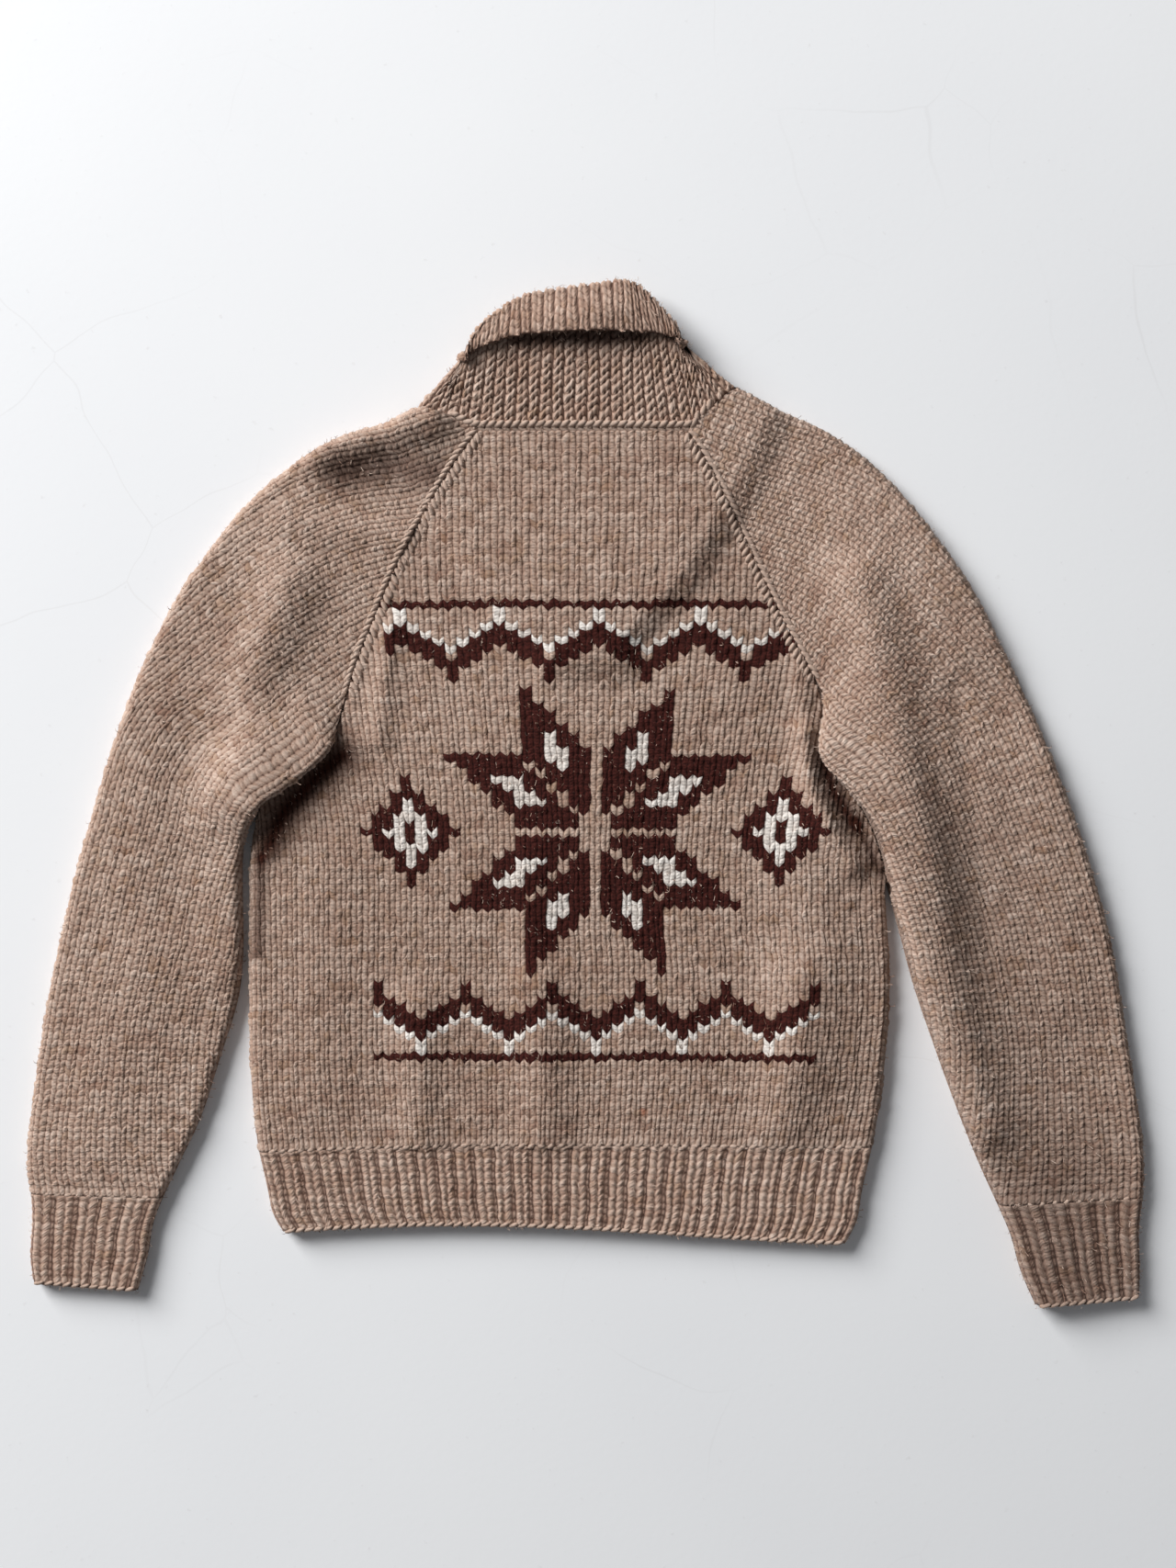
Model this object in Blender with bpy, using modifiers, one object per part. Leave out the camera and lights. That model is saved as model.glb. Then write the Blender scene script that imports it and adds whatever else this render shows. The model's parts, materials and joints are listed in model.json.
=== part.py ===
"""Heavy hand-knitted raglan sweater with a tall folded collar, laid flat with its back up.

Metres, +Z up. The origin is on the surface under the middle of the laid garment, +X runs from
sleeve to sleeve and +Y from hem to collar. Every piece is a thick sheet of knitting: a loft of
sections whose outer and inner points are worked out from the wall, the folds and the tables below.
"""
import math

import bpy
from mathutils import Vector

MM = 0.001

# Cloth
WALL = 5.5 * MM             # thickness of the bulky hand-knit cloth
PAIR_GAP = 1.8 * MM         # air between the two laid layers
LAID = 2 * WALL + PAIR_GAP  # height of back and front laid on each other
FOLD = LAID / 2             # outer radius of a side fold
SEAM = 0.3 * MM             # gap between two sewn pieces
MOST_AIR = 3.6 * MM         # the hidden layers of a raised roll leave no more air than this
LEAST_AIR = 0.4 * MM

# Closed front and collar
ZIP_X = -1.5 * MM           # middle of the closed zip
ZIP_WIDTH = 5.0 * MM
ZIP_THICK = 2.4 * MM
ZIP_BASE = 1.2 * MM         # the chain stays clear of the surface
ZIP_SHORT = 1.0 * MM        # it ends this far above the hem's lower edge
ZIP_ROUNDING = 0.6 * MM
NECK_POINT = 157.0 * MM     # where the neck opening starts on the zip line
NECK_SHOULDER = (75.0 * MM, 276.0 * MM)   # its other end, out from the zip line and up
COLLAR_GAP = 0.4 * MM       # between the collar's stand and its folded-over fall
COLLAR_AXIS = FOLD + COLLAR_GAP + WALL    # height of the middle of the laid collar
GARTER_RIDGES = 24          # ridges across the back of the collar
GARTER_RISE = 0.8 * MM
STAND_SHARES = (0.0, 0.3, 0.6, 0.9)       # rows of the collar's stand, as shares of its height
PLAIN_STAND = 0.6                         # from this row up the fall hides the stand
FALL_SHARES = (0.35, 1.0)                 # rows of the fall
ROLL_ANGLES = (30, 70, 110, 150)          # rows over the roll, in degrees

# Ribbing
HEM_RIBS = 32
CUFF_RIBS = 8
RIB_RISE = 0.5 * MM
RIB_GROOVE = 1.7 * MM

# Sampling of the lofts
ARC_STEPS = 3               # columns in a quarter fold
BACK_COLUMNS = 14
FRONT_COLUMNS = 6
SLEEVE_COLUMNS = 7
BETWEEN_ROWS = 1            # rows added between two rows of a table

# A row for each section of a lower sleeve, cuff to underarm, in mm.
# outer x, outer y, inner x, inner y
LEFT_SLEEVE = (
    (-422.5, -304.0, -322.0, -307.0),
    (-425.5, -278.2, -308.3, -278.2),
    (-422.4, -241.8, -292.9, -245.3),
    (-416.1, -196.3, -278.2, -199.8),
    (-408.4, -147.3, -265.2, -157.8),
    (-398.6, -103.2, -261.0, -122.8),
    (-388.8, -59.8, -261.2, -84.3),
    (-376.9, -17.8, -261.2, -49.3),
    (-363.6, 27.6, -257.8, -24.8),
)
RIGHT_SLEEVE = (
    (424.5, -307.0, 313.5, -312.0),
    (425.2, -273.3, 297.1, -275.4),
    (418.9, -224.3, 278.9, -229.2),
    (411.9, -182.3, 262.8, -184.3),
    (404.9, -138.2, 250.2, -147.2),
    (396.5, -96.4, 240.7, -112.2),
    (388.0, -66.0, 233.8, -86.0),
)

# A row for each section shared by sleeves and body, underarm to neck, in mm.
# left outer x, y, left seam x, y, right seam x, y, right outer x, y, front edge y
ARMHOLE = (
    (-348.9, 69.6, -247.4, -4.5, 227.9, -63.4, 379.5, -38.0, -40.0),
    (-340.5, 91.0, -233.0, 6.5, 224.3, -46.0, 371.0, -14.0, -26.0),
    (-331.4, 111.6, -220.8, 15.7, 215.9, -22.8, 357.3, 22.8, -8.0),
    (-307.6, 157.1, -196.0, 37.1, 200.9, 3.8, 340.9, 60.5, 18.0),
    (-293.6, 176.8, -186.1, 59.5, 181.8, 34.5, 318.9, 108.6, 46.0),
    (-267.1, 211.0, -175.3, 97.6, 177.6, 78.0, 287.0, 168.0, 86.0),
    (-236.2, 241.1, -162.0, 131.2, 152.8, 128.2, 235.3, 235.0, 127.0),
    (-194.2, 269.1, -143.8, 174.6, 130.5, 174.6, 187.2, 274.0, 157.0),
    (-151.5, 282.6, -120.0, 218.0, 110.2, 218.0, 145.5, 292.6, 205.0),
    (-135.5, 289.3, -96.9, 255.1, 90.6, 255.1, 123.7, 303.0, 248.0),
    (-129.2, 293.6, -81.5, 276.1, 77.3, 276.1, 115.8, 308.3, 276.0),
)

# A row for each section of the body's sides, rib to underarm, in mm.
# left x, left y, right x, right y, front edge y
BODY_SIDES = (
    (-248.9, -272.5, 218.2, -268.8, -270.5),
    (-253.4, -234.9, 224.0, -238.0, -236.0),
    (-255.9, -192.9, 227.9, -203.0, -198.0),
    (-256.4, -143.9, 231.0, -165.0, -154.0),
    (-256.2, -94.9, 231.3, -127.0, -110.0),
    (-255.4, -45.9, 229.0, -92.0, -68.0),
)

# A row for each section of the ribbed hem, top to bottom, in mm.
# left x, left y, right x, right y, bow of the row's middle
HEM = (
    (-248.9, -272.5, 218.2, -268.8, 6.0),
    (-243.0, -298.0, 210.8, -301.0, 9.0),
    (-238.5, -319.0, 206.6, -325.0, 11.0),
    (-230.5, -333.5, 197.5, -342.6, 13.0),
)

BOW_LEAN = 0.8              # how much of the hem's bow is lost towards the right side
BOWED_ROWS = 4              # the rows of back and fronts above the rib share its bow

# A row for each section of a cuff, top to bottom, in mm.
# outer x, outer y, inner x, inner y
LEFT_CUFF = (
    (-422.5, -304.0, -322.0, -307.0),
    (-421.8, -325.8, -329.5, -327.0),
    (-423.3, -350.3, -333.8, -352.0),
    (-421.0, -372.0, -341.2, -377.9),
)
RIGHT_CUFF = (
    (424.5, -307.0, 313.5, -312.0),
    (421.8, -332.8, 323.8, -336.3),
    (422.4, -357.3, 331.0, -362.2),
    (421.8, -383.5, 342.6, -389.1),
)

# A row for each section of the collar, in mm: seam x, y, roll x, y, fall edge x, y.
COLLAR_BACK = (
    (-104.0, 284.3, -86.5, 343.5, -88.5, 335.5),
    (-81.5, 276.1, -72.0, 358.0, -73.1, 345.4),
    (-54.2, 276.1, -50.0, 372.0, -50.0, 350.8),
    (-26.2, 276.1, -23.4, 377.8, -24.1, 352.8),
    (1.8, 276.1, 3.1, 381.2, 5.2, 354.2),
    (29.7, 276.1, 29.4, 384.3, 31.5, 354.2),
    (54.9, 276.1, 45.0, 377.4, 50.1, 353.5),
    (77.3, 276.1, 60.5, 362.0, 65.8, 347.9),
    (94.1, 290.2, 72.5, 348.0, 76.0, 341.5),
)
COLLAR_LEFT_FOLD = (-86.0, 331.0, -90.0, 325.0)   # roll x, y, fall edge x, y
COLLAR_RIGHT_FOLD = (72.8, 331.5, 77.2, 327.5)
# Front of the collar, out from the zip line: seam, roll and fall edge as above.
COLLAR_FRONT = (
    (0.0, 157.0, 0.0, 213.0, 0.0, 115.0),
    (27.1, 200.0, 21.0, 240.0, 46.0, 160.0),
    (52.3, 240.0, 43.0, 275.0, 77.0, 203.0),
    (71.2, 270.0, 59.0, 302.0, 96.0, 236.0),
    (75.0, 276.0, 66.0, 314.0, 104.0, 262.0),
)

# The laid layers rise over the front of the collar: y, half width of the raised stretch, in mm.
LAPEL_REACH = ((60.0, 0.0), (115.0, 22.0), (160.0, 66.0), (203.0, 94.0), (236.0, 113.0),
               (262.0, 124.0), (290.0, 136.0), (420.0, 136.0))
LAPEL_SLOPE = 30.0 * MM     # width of the slope beside them
LAPEL_TIP = 6.0 * MM        # the slope starts this far below the lapels

# Main folds of the upper layer: start x, y, end x, y, half width, height, in mm.
FOLDS = (
    (-232.0, 318.0, -158.0, 236.0, 17.0, -1.3),    # dimple across the left shoulder
    (-292.0, 196.0, -206.0, 122.0, 34.0, 3.0),     # swell of the left upper arm
    (-316.0, 70.0, -338.0, -100.0, 26.0, 2.6),     # crest down the left sleeve
    (-338.0, -130.0, -372.0, -260.0, 34.0, 2.0),
    (-208.0, 104.0, -262.0, 66.0, 15.0, -1.3),     # crease into the left underarm
    (252.0, 34.0, 286.0, -112.0, 18.0, -1.3),      # trough down the right sleeve
    (330.0, 64.0, 352.0, -150.0, 34.0, 2.8),       # crest beside it
    (222.0, 190.0, 292.0, 120.0, 34.0, 2.4),
    (352.0, -170.0, 376.0, -280.0, 34.0, 1.8),
    (-196.0, -60.0, -206.0, -230.0, 26.0, 1.8),    # soft upright folds of the back
    (-120.0, -130.0, -112.0, -262.0, 17.0, -0.9),
    (-30.0, -140.0, -24.0, -262.0, 22.0, 1.5),
    (60.0, -120.0, 52.0, -262.0, 17.0, -0.8),
    (160.0, -40.0, 148.0, -240.0, 30.0, 1.7),
    (-150.0, 40.0, -178.0, -60.0, 20.0, -0.8),
    (150.0, 60.0, 186.0, -60.0, 20.0, -0.9),
    (0.0, 120.0, 0.0, -60.0, 90.0, 1.2),
)
ROLL_HEIGHT = 6.0 * MM      # the sleeve's inner edge rolls up over the underarm
ROLL_EDGE = 9.0 * MM
ROLL_FADE = 55.0 * MM
# How much of the roll each section of ARMHOLE has.
ROLL_SHARE = (0.75, 0.95, 1.0, 1.0, 0.9, 0.5, 0.15, 0.0, 0.0, 0.0, 0.0)
ROLL_BELOW = 0.25           # the same at the last section of the lower sleeve
ROLL_LOSS = 0.125           # and how much less at each section below that

WOOL = (0.35, 0.255, 0.20)
WOOL_RIB = (0.34, 0.245, 0.19)
BRASS = (0.45, 0.38, 0.25)


def smooth_step(value):
    value = min(max(value, 0.0), 1.0)
    return value * value * (3 - 2 * value)


def mix(a, b, share):
    return a + (b - a) * share


def table_value(table, at):
    """Second column of a table read at a value of the first, both in mm."""
    for (low, start), (high, end) in zip(table, table[1:]):
        if at <= high:
            return mix(start, end, max(at - low, 0.0) / (high - low))
    return table[-1][1]


def lay(x, y):
    """Height of the surface that the laid layers rest on: the floor, or the collar's front."""
    reach = table_value(LAPEL_REACH, y / MM) * MM
    out = abs(x - ZIP_X) - reach
    if y < LAPEL_REACH[1][0] * MM:
        out = max(out, LAPEL_REACH[1][0] * MM - y - LAPEL_TIP)
    return (WALL + COLLAR_GAP) * smooth_step(1 - out / LAPEL_SLOPE)


def fold_height(x, y):
    """Height that the main folds add at a place, each a soft ridge or trough along a line."""
    total = 0.0
    for x0, y0, x1, y1, half_width, height in FOLDS:
        along = Vector((x1 - x0, y1 - y0))
        place = Vector((x / MM - x0, y / MM - y0))
        share = min(max(place.dot(along) / along.length_squared, 0.0), 1.0)
        distance = (place - along * share).length
        total += height * MM * math.exp(-(distance / half_width) ** 2)
    return total


def upper(x, y, extra=0.0):
    """Outer height of the upper layer and height of its underside."""
    ground = lay(x, y)
    top = ground + LAID + max(fold_height(x, y), LEAST_AIR - PAIR_GAP) + extra
    under = min(top - WALL, ground + WALL + MOST_AIR)
    return top, under


def spline(rows, between=BETWEEN_ROWS):
    """Rows of a table with smooth rows added between them."""
    out = []
    last = len(rows) - 1
    for index in range(last):
        before = rows[max(index - 1, 0)]
        start = rows[index]
        end = rows[index + 1]
        after = rows[min(index + 2, last)]
        for step in range(between + 1):
            t = step / (between + 1)
            row = []
            for a, b, c, d in zip(before, start, end, after):
                into = 0.5 * (c - a)
                out_of = 0.5 * (d - b)
                cubic = 2 * b - 2 * c + into + out_of
                square = -3 * b + 3 * c - 2 * into - out_of
                row.append(b + into * t + square * t * t + cubic * t ** 3)
            out.append(tuple(row))
    out.append(tuple(rows[-1]))
    return out


def straight(rows, between=BETWEEN_ROWS):
    """Rows of a table with even rows added between them."""
    out = []
    for start, end in zip(rows, rows[1:]):
        for step in range(between + 1):
            out.append(tuple(mix(a, b, step / (between + 1)) for a, b in zip(start, end)))
    out.append(tuple(rows[-1]))
    return out


def thick_sheet(name, outer, inner, material):
    """One closed body between two grids of points."""
    rows = len(outer)
    columns = len(outer[0])
    points = [p for row in outer for p in row] + [p for row in inner for p in row]
    far = rows * columns
    faces = []
    end = (rows - 1) * columns
    for j in range(rows - 1):
        for i in range(columns - 1):
            a = j * columns + i
            b, c, d = a + 1, a + columns + 1, a + columns
            faces.append((a, b, c, d))
            faces.append((far + d, far + c, far + b, far + a))
    for i in range(columns - 1):
        faces.append((far + i, far + i + 1, i + 1, i))
        faces.append((end + i, end + i + 1, far + end + i + 1, far + end + i))
    for j in range(rows - 1):
        a, b = j * columns, (j + 1) * columns
        faces.append((a, b, far + b, far + a))
        a, b = a + columns - 1, b + columns - 1
        faces.append((far + a, far + b, b, a))
    mesh = bpy.data.meshes.new(name)
    mesh.from_pydata(points, [], faces)
    mesh.update()
    volume = sum(p.center.dot(p.normal) * p.area for p in mesh.polygons)
    if volume < 0:
        mesh.flip_normals()
    mesh.shade_smooth()
    mesh.set_sharp_from_angle(angle=math.radians(50))
    return add_piece(name, mesh, material)


def add_piece(name, mesh, material):
    mesh.materials.append(material)
    piece = bpy.data.objects.new(name, mesh)
    GARMENT.objects.link(piece)
    return piece


def wool(name, colour=WOOL):
    material = bpy.data.materials.new(name)
    material.use_nodes = True
    shader = material.node_tree.nodes["Principled BSDF"]
    shader.inputs["Base Color"].default_value = (*colour, 1.0)
    shader.inputs["Roughness"].default_value = 0.95
    shader.inputs["Metallic"].default_value = 0.0
    return material


def fold_columns(folded):
    """Columns of a quarter fold, edge first: outer offset, inner offset and share of height.

    folded is 1 at a side fold and 0 at a seam between two pieces that lie side by side."""
    columns = []
    for step in range(ARC_STEPS + 1):
        angle = math.radians(90) * step / ARC_STEPS
        flat = FOLD * step / ARC_STEPS
        outer = mix(flat, FOLD * (1 - math.cos(angle)), folded)
        inner = mix(flat, FOLD - (FOLD - WALL) * math.cos(angle), folded)
        columns.append((outer, inner, mix(1.0, math.sin(angle), folded)))
    return columns


def edge_point(edge, across, columns_at, height_at, side):
    """Outer and inner point of one fold column: side is 1 for the upper layer, -1 for the lower."""
    outer_offset, inner_offset, share = columns_at
    place_out = edge + across * outer_offset
    place_in = edge + across * inner_offset
    middle = lay(place_in.x, place_in.y) + LAID / 2
    base = middle + side * SEAM / 2 * (1 - share)
    far, near = height_at(place_out)
    return (Vector((place_out.x, place_out.y, mix(base, far, share))),
            Vector((place_in.x, place_in.y, mix(base, near, share))))


def no_relief(_share):
    return 0.0


def hem_bow(left, right, height):
    """Function that gives the rise of a bowed row at a place x between its ends."""
    def rise(x):
        share = min(max((x - left.x) / (right.x - left.x), 0.0), 1.0)
        return height * math.sin(math.pi * share) * (1 - BOW_LEAN * share)
    return rise


def body_section(left, right, folded_left, folded_right, columns, side, relief=no_relief,
                 bow=no_relief):
    """Outer and inner points of one section of the back (side 1) or a front (side -1)."""
    across = (right - left).normalized()
    width = (right - left).length

    def height_at(place):
        if side < 0:
            ground = lay(place.x, place.y)
            return ground, ground + WALL
        top, under = upper(place.x, place.y)
        return top + relief((place - left).dot(across) / width), under

    def bowed(point):
        return Vector((point.x, point.y + bow(point.x), point.z))

    pairs = [edge_point(left, across, c, height_at, side) for c in fold_columns(folded_left)]
    for step in range(1, columns):
        offset = mix(FOLD, width - FOLD, step / columns)
        place = left + across * offset
        far, near = height_at(place)
        pairs.append((Vector((place.x, place.y, far)), Vector((place.x, place.y, near))))
    pairs += [edge_point(right, -across, c, height_at, side)
              for c in reversed(fold_columns(folded_right))]
    return [bowed(p) for p, _ in pairs], [bowed(q) for _, q in pairs]


def rib_relief(count):
    """Rounded ribs with narrow grooves, four columns to a rib."""
    def relief(share):
        wave = 0.5 + 0.5 * math.cos(2 * math.pi * share * count)
        return RIB_RISE - (RIB_RISE + RIB_GROOVE) * (1 - wave) ** 2
    return relief


def sleeve_section(outer_edge, inner_edge, folded, roll, columns, relief=no_relief):
    """Section of a folded tube: from its inner edge over the top, round the outer fold and back."""
    across = (outer_edge - inner_edge).normalized()
    width = (outer_edge - inner_edge).length

    def upper_at(place):
        offset = (place - inner_edge).dot(across)
        rise = min(max(offset / ROLL_EDGE, 0.0), 1.0)
        extra = roll * ROLL_HEIGHT * math.sqrt(1 - (1 - rise) ** 2)
        extra *= 1 - smooth_step((offset - ROLL_EDGE) / ROLL_FADE)
        top, under = upper(place.x, place.y, extra)
        return top + relief(offset / width), under

    def lower_at(place):
        ground = lay(place.x, place.y)
        return ground, ground + WALL

    pairs = [edge_point(inner_edge, across, c, upper_at, 1) for c in fold_columns(folded)]
    flats = [mix(FOLD, width - FOLD, step / columns) for step in range(1, columns)]
    for offset in flats:
        place = inner_edge + across * offset
        far, near = upper_at(place)
        pairs.append((Vector((place.x, place.y, far)), Vector((place.x, place.y, near))))
    pivot = inner_edge + across * (width - FOLD)
    middle = lay(pivot.x, pivot.y) + LAID / 2
    top, under = upper_at(pivot)
    for step in range(2 * ARC_STEPS + 1):
        angle = math.radians(90) * (1 - step / ARC_STEPS)
        rise = top - middle if step < ARC_STEPS else LAID / 2
        rise_in = under - middle if step < ARC_STEPS else LAID / 2 - WALL
        place = pivot + across * FOLD * math.cos(angle)
        place_in = pivot + across * (FOLD - WALL) * math.cos(angle)
        pairs.append((Vector((place.x, place.y, middle + rise * math.sin(angle))),
                      Vector((place_in.x, place_in.y, middle + rise_in * math.sin(angle)))))
    plain = flats if relief is no_relief else flats[::4]
    for offset in reversed(plain):
        place = inner_edge + across * offset
        far, near = lower_at(place)
        pairs.append((Vector((place.x, place.y, far)), Vector((place.x, place.y, near))))
    pairs += [edge_point(inner_edge, across, c, lower_at, -1)
              for c in reversed(fold_columns(folded))]
    return [p for p, _ in pairs], [q for _, q in pairs]


def metres(row):
    return tuple(value * MM for value in row)


def body_rows():
    """Sections of the body from the rib to the neck: both seams, front edge and fold share."""
    sides = [(*row, 1.0) for row in BODY_SIDES]
    shared = [(row[2], row[3], row[4], row[5], row[8], 0.0) for row in ARMHOLE]
    rows = spline(sides + shared)
    fixed = straight(sides + shared)
    out = []
    for number, (smooth, even) in enumerate(zip(rows, fixed)):
        sewn = number >= len(sides) * (BETWEEN_ROWS + 1)
        left_x, left_y, right_x, right_y = metres(even[:4] if sewn else smooth[:4])
        out.append((Vector((left_x, left_y)), Vector((right_x, right_y)),
                    even[4] * MM, smooth_step(even[5])))
    return out


def seam_side(first, last, rows):
    """Moves the first and last section half a seam in, along the piece."""
    rows = list(rows)
    for index, step in ((0, first), (-1, last)):
        left, right, edge_y, folded = rows[index]
        move = Vector((0.0, step * SEAM / 2))
        rows[index] = (left + move, right + move, edge_y + move.y, folded)
    return rows


def row_bow(number, left, right):
    """Bow of a row of back or front, which fades away above the rib."""
    return hem_bow(left, right, HEM[0][4] * MM * max(0.0, 1 - number / BOWED_ROWS))


def make_back():
    outer = []
    inner = []
    rows = seam_side(1, -1, body_rows())
    for number, (left, right, _, folded) in enumerate(rows):
        trim = Vector((SEAM / 2, 0.0)) * (1 - folded)
        points = body_section(left + trim, right - trim, folded, folded, BACK_COLUMNS, 1,
                              bow=row_bow(number, left, right))
        outer.append(points[0])
        inner.append(points[1])
    thick_sheet("back", outer, inner, wool("back_wool"))


def front_edge(y, side):
    """Inner edge of a front: beside the zip, then out along the neck opening."""
    clear = side * (ZIP_WIDTH / 2 + SEAM)
    if y <= NECK_POINT:
        return Vector((ZIP_X + clear, y))
    share = (y - NECK_POINT) / (NECK_SHOULDER[1] - NECK_POINT)
    return Vector((ZIP_X + clear + side * share * NECK_SHOULDER[0], y))


def make_front(name, side):
    """A front lies under the back: side is -1 for the one at -X."""
    outer = []
    inner = []
    for number, (left, right, edge_y, folded) in enumerate(seam_side(1, -1, body_rows())):
        seam = left if side < 0 else right
        trim = Vector((-side * SEAM / 2, 0.0)) * (1 - folded)
        edge = front_edge(edge_y, side)
        bow = row_bow(number, left, right)
        if side < 0:
            points = body_section(seam + trim, edge, folded, 0.0, FRONT_COLUMNS, -1, bow=bow)
        else:
            points = body_section(edge, seam + trim, 0.0, folded, FRONT_COLUMNS, -1, bow=bow)
        outer.append(points[0])
        inner.append(points[1])
    thick_sheet(name, outer, inner, wool(name + "_wool"))


def make_hem():
    """Ribbed hem: one strip under the back and one under each front."""
    rows = [metres(row) for row in spline(HEM, 0)]
    strips = {"back_hem_rib": [], "front_hem_rib_left": [], "front_hem_rib_right": []}
    for number, (left_x, left_y, right_x, right_y, height) in enumerate(rows):
        down = SEAM / 2 if number == 0 else 0.0
        left = Vector((left_x, left_y - down))
        right = Vector((right_x, right_y - down))
        bow = hem_bow(left, right, height)
        strips["back_hem_rib"].append(
            body_section(left, right, 1.0, 1.0, HEM_RIBS * 4, 1, rib_relief(HEM_RIBS), bow))
        share = (ZIP_X - left_x) / (right_x - left_x)
        middle_y = mix(left_y, right_y, share) - down
        clear = ZIP_WIDTH / 2 + SEAM
        strips["front_hem_rib_left"].append(
            body_section(left, Vector((ZIP_X - clear, middle_y)), 1.0, 0.0, FRONT_COLUMNS, -1,
                         bow=bow))
        strips["front_hem_rib_right"].append(
            body_section(Vector((ZIP_X + clear, middle_y)), right, 0.0, 1.0, FRONT_COLUMNS, -1,
                         bow=bow))
    for name, sections in strips.items():
        thick_sheet(name, [s[0] for s in sections], [s[1] for s in sections],
                    wool(name + "_wool", WOOL_RIB))


def make_sleeve(name, lower, outer_column, seam_column):
    """Sleeve from the cuff to the neck, folded along its outer edge."""
    rows = []
    for number, row in enumerate(lower):
        below = len(lower) - 1 - number
        rows.append((*row, 1.0, max(0.0, ROLL_BELOW - ROLL_LOSS * below)))
    for row, roll in zip(ARMHOLE, ROLL_SHARE):
        rows.append((*row[outer_column:outer_column + 2], *row[seam_column:seam_column + 2],
                     0.0, roll))
    smooth = spline(rows)
    even = straight(rows)
    outer = []
    inner = []
    last = len(smooth) - 1
    for number, (row, plain) in enumerate(zip(smooth, even)):
        sewn = number >= len(lower) * (BETWEEN_ROWS + 1)
        outer_x, outer_y = metres(row[:2])
        inner_x, inner_y = metres(plain[2:4] if sewn else row[2:4])
        away = Vector((outer_x, outer_y))
        near = Vector((inner_x, inner_y))
        folded = smooth_step(plain[4])
        near += (away - near).normalized() * SEAM * (1 - folded)
        shift = 1 if number == 0 else (-1 if number == last else 0)
        step = Vector((0.0, shift * SEAM / 2))
        points = sleeve_section(away + step, near + step, folded, plain[5], SLEEVE_COLUMNS)
        outer.append(points[0])
        inner.append(points[1])
    thick_sheet(name, outer, inner, wool(name + "_wool"))


def make_cuff(name, table):
    outer = []
    inner = []
    for number, row in enumerate(table):
        outer_x, outer_y, inner_x, inner_y = metres(row)
        down = Vector((0.0, -SEAM / 2 if number == 0 else 0.0))
        points = sleeve_section(Vector((outer_x, outer_y)) + down, Vector((inner_x, inner_y)) + down,
                                1.0, 0.0, CUFF_RIBS * 4, rib_relief(CUFF_RIBS))
        outer.append(points[0])
        inner.append(points[1])
    thick_sheet(name, outer, inner, wool(name + "_wool", WOOL_RIB))


def collar_stations():
    """Stations along the collar: seam, roll and fall edge points, outward normal and ridge share."""
    up = Vector((0.0, 0.0, 1.0))

    def fold(row, outer_column, seam_column, shape):
        away = Vector(metres(row[outer_column:outer_column + 2]))
        near = Vector(metres(row[seam_column:seam_column + 2]))
        side = (away - near).normalized()
        seam = away - side * FOLD
        return (*seam, *metres(shape)), side

    left_fold, left_side = fold(ARMHOLE[-1], 0, 2, COLLAR_LEFT_FOLD)
    right_fold, right_side = fold(ARMHOLE[-1], 6, 4, COLLAR_RIGHT_FOLD)

    def front(side):
        clear = SEAM / 2 + ZIP_WIDTH / 2
        rows = []
        for row in COLLAR_FRONT:
            seam_x, seam_y, roll_x, roll_y, edge_x, edge_y = metres(row)
            rows.append((ZIP_X + side * (seam_x + clear), seam_y, ZIP_X + side * (roll_x + clear),
                         roll_y, ZIP_X + side * (edge_x + clear), edge_y))
        return rows

    stations = []
    for row in straight(front(-1) + [left_fold]):
        stations.append((row, -up, 0.0))
    stations.pop()
    for turn in range(5):
        angle = math.radians(-90 + 45 * turn)
        normal = left_side.to_3d() * math.cos(angle) + up * math.sin(angle)
        stations.append((left_fold, normal, 0.0))
    table = [left_fold] + [metres(row) for row in COLLAR_BACK] + [right_fold]
    count = GARTER_RIDGES * 2
    seam_run = [0.0]
    for start, end in zip(table, table[1:]):
        seam_run.append(seam_run[-1] + (Vector(end[:2]) - Vector(start[:2])).length)
    for number in range(1, count):
        at = seam_run[-1] * number / count
        index = max(i for i in range(len(table) - 1) if seam_run[i] <= at)
        share = (at - seam_run[index]) / (seam_run[index + 1] - seam_run[index])
        row = tuple(mix(a, b, share) for a, b in zip(table[index], table[index + 1]))
        stations.append((row, up, 1.0 if number % 2 else -1.0))
    for turn in range(5):
        angle = math.radians(90 - 45 * turn)
        normal = right_side.to_3d() * math.cos(angle) + up * math.sin(angle)
        stations.append((right_fold, normal, 0.0))
    for row in reversed(straight(front(1) + [right_fold])[:-1]):
        stations.append((row, -up, 0.0))
    return stations


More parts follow.
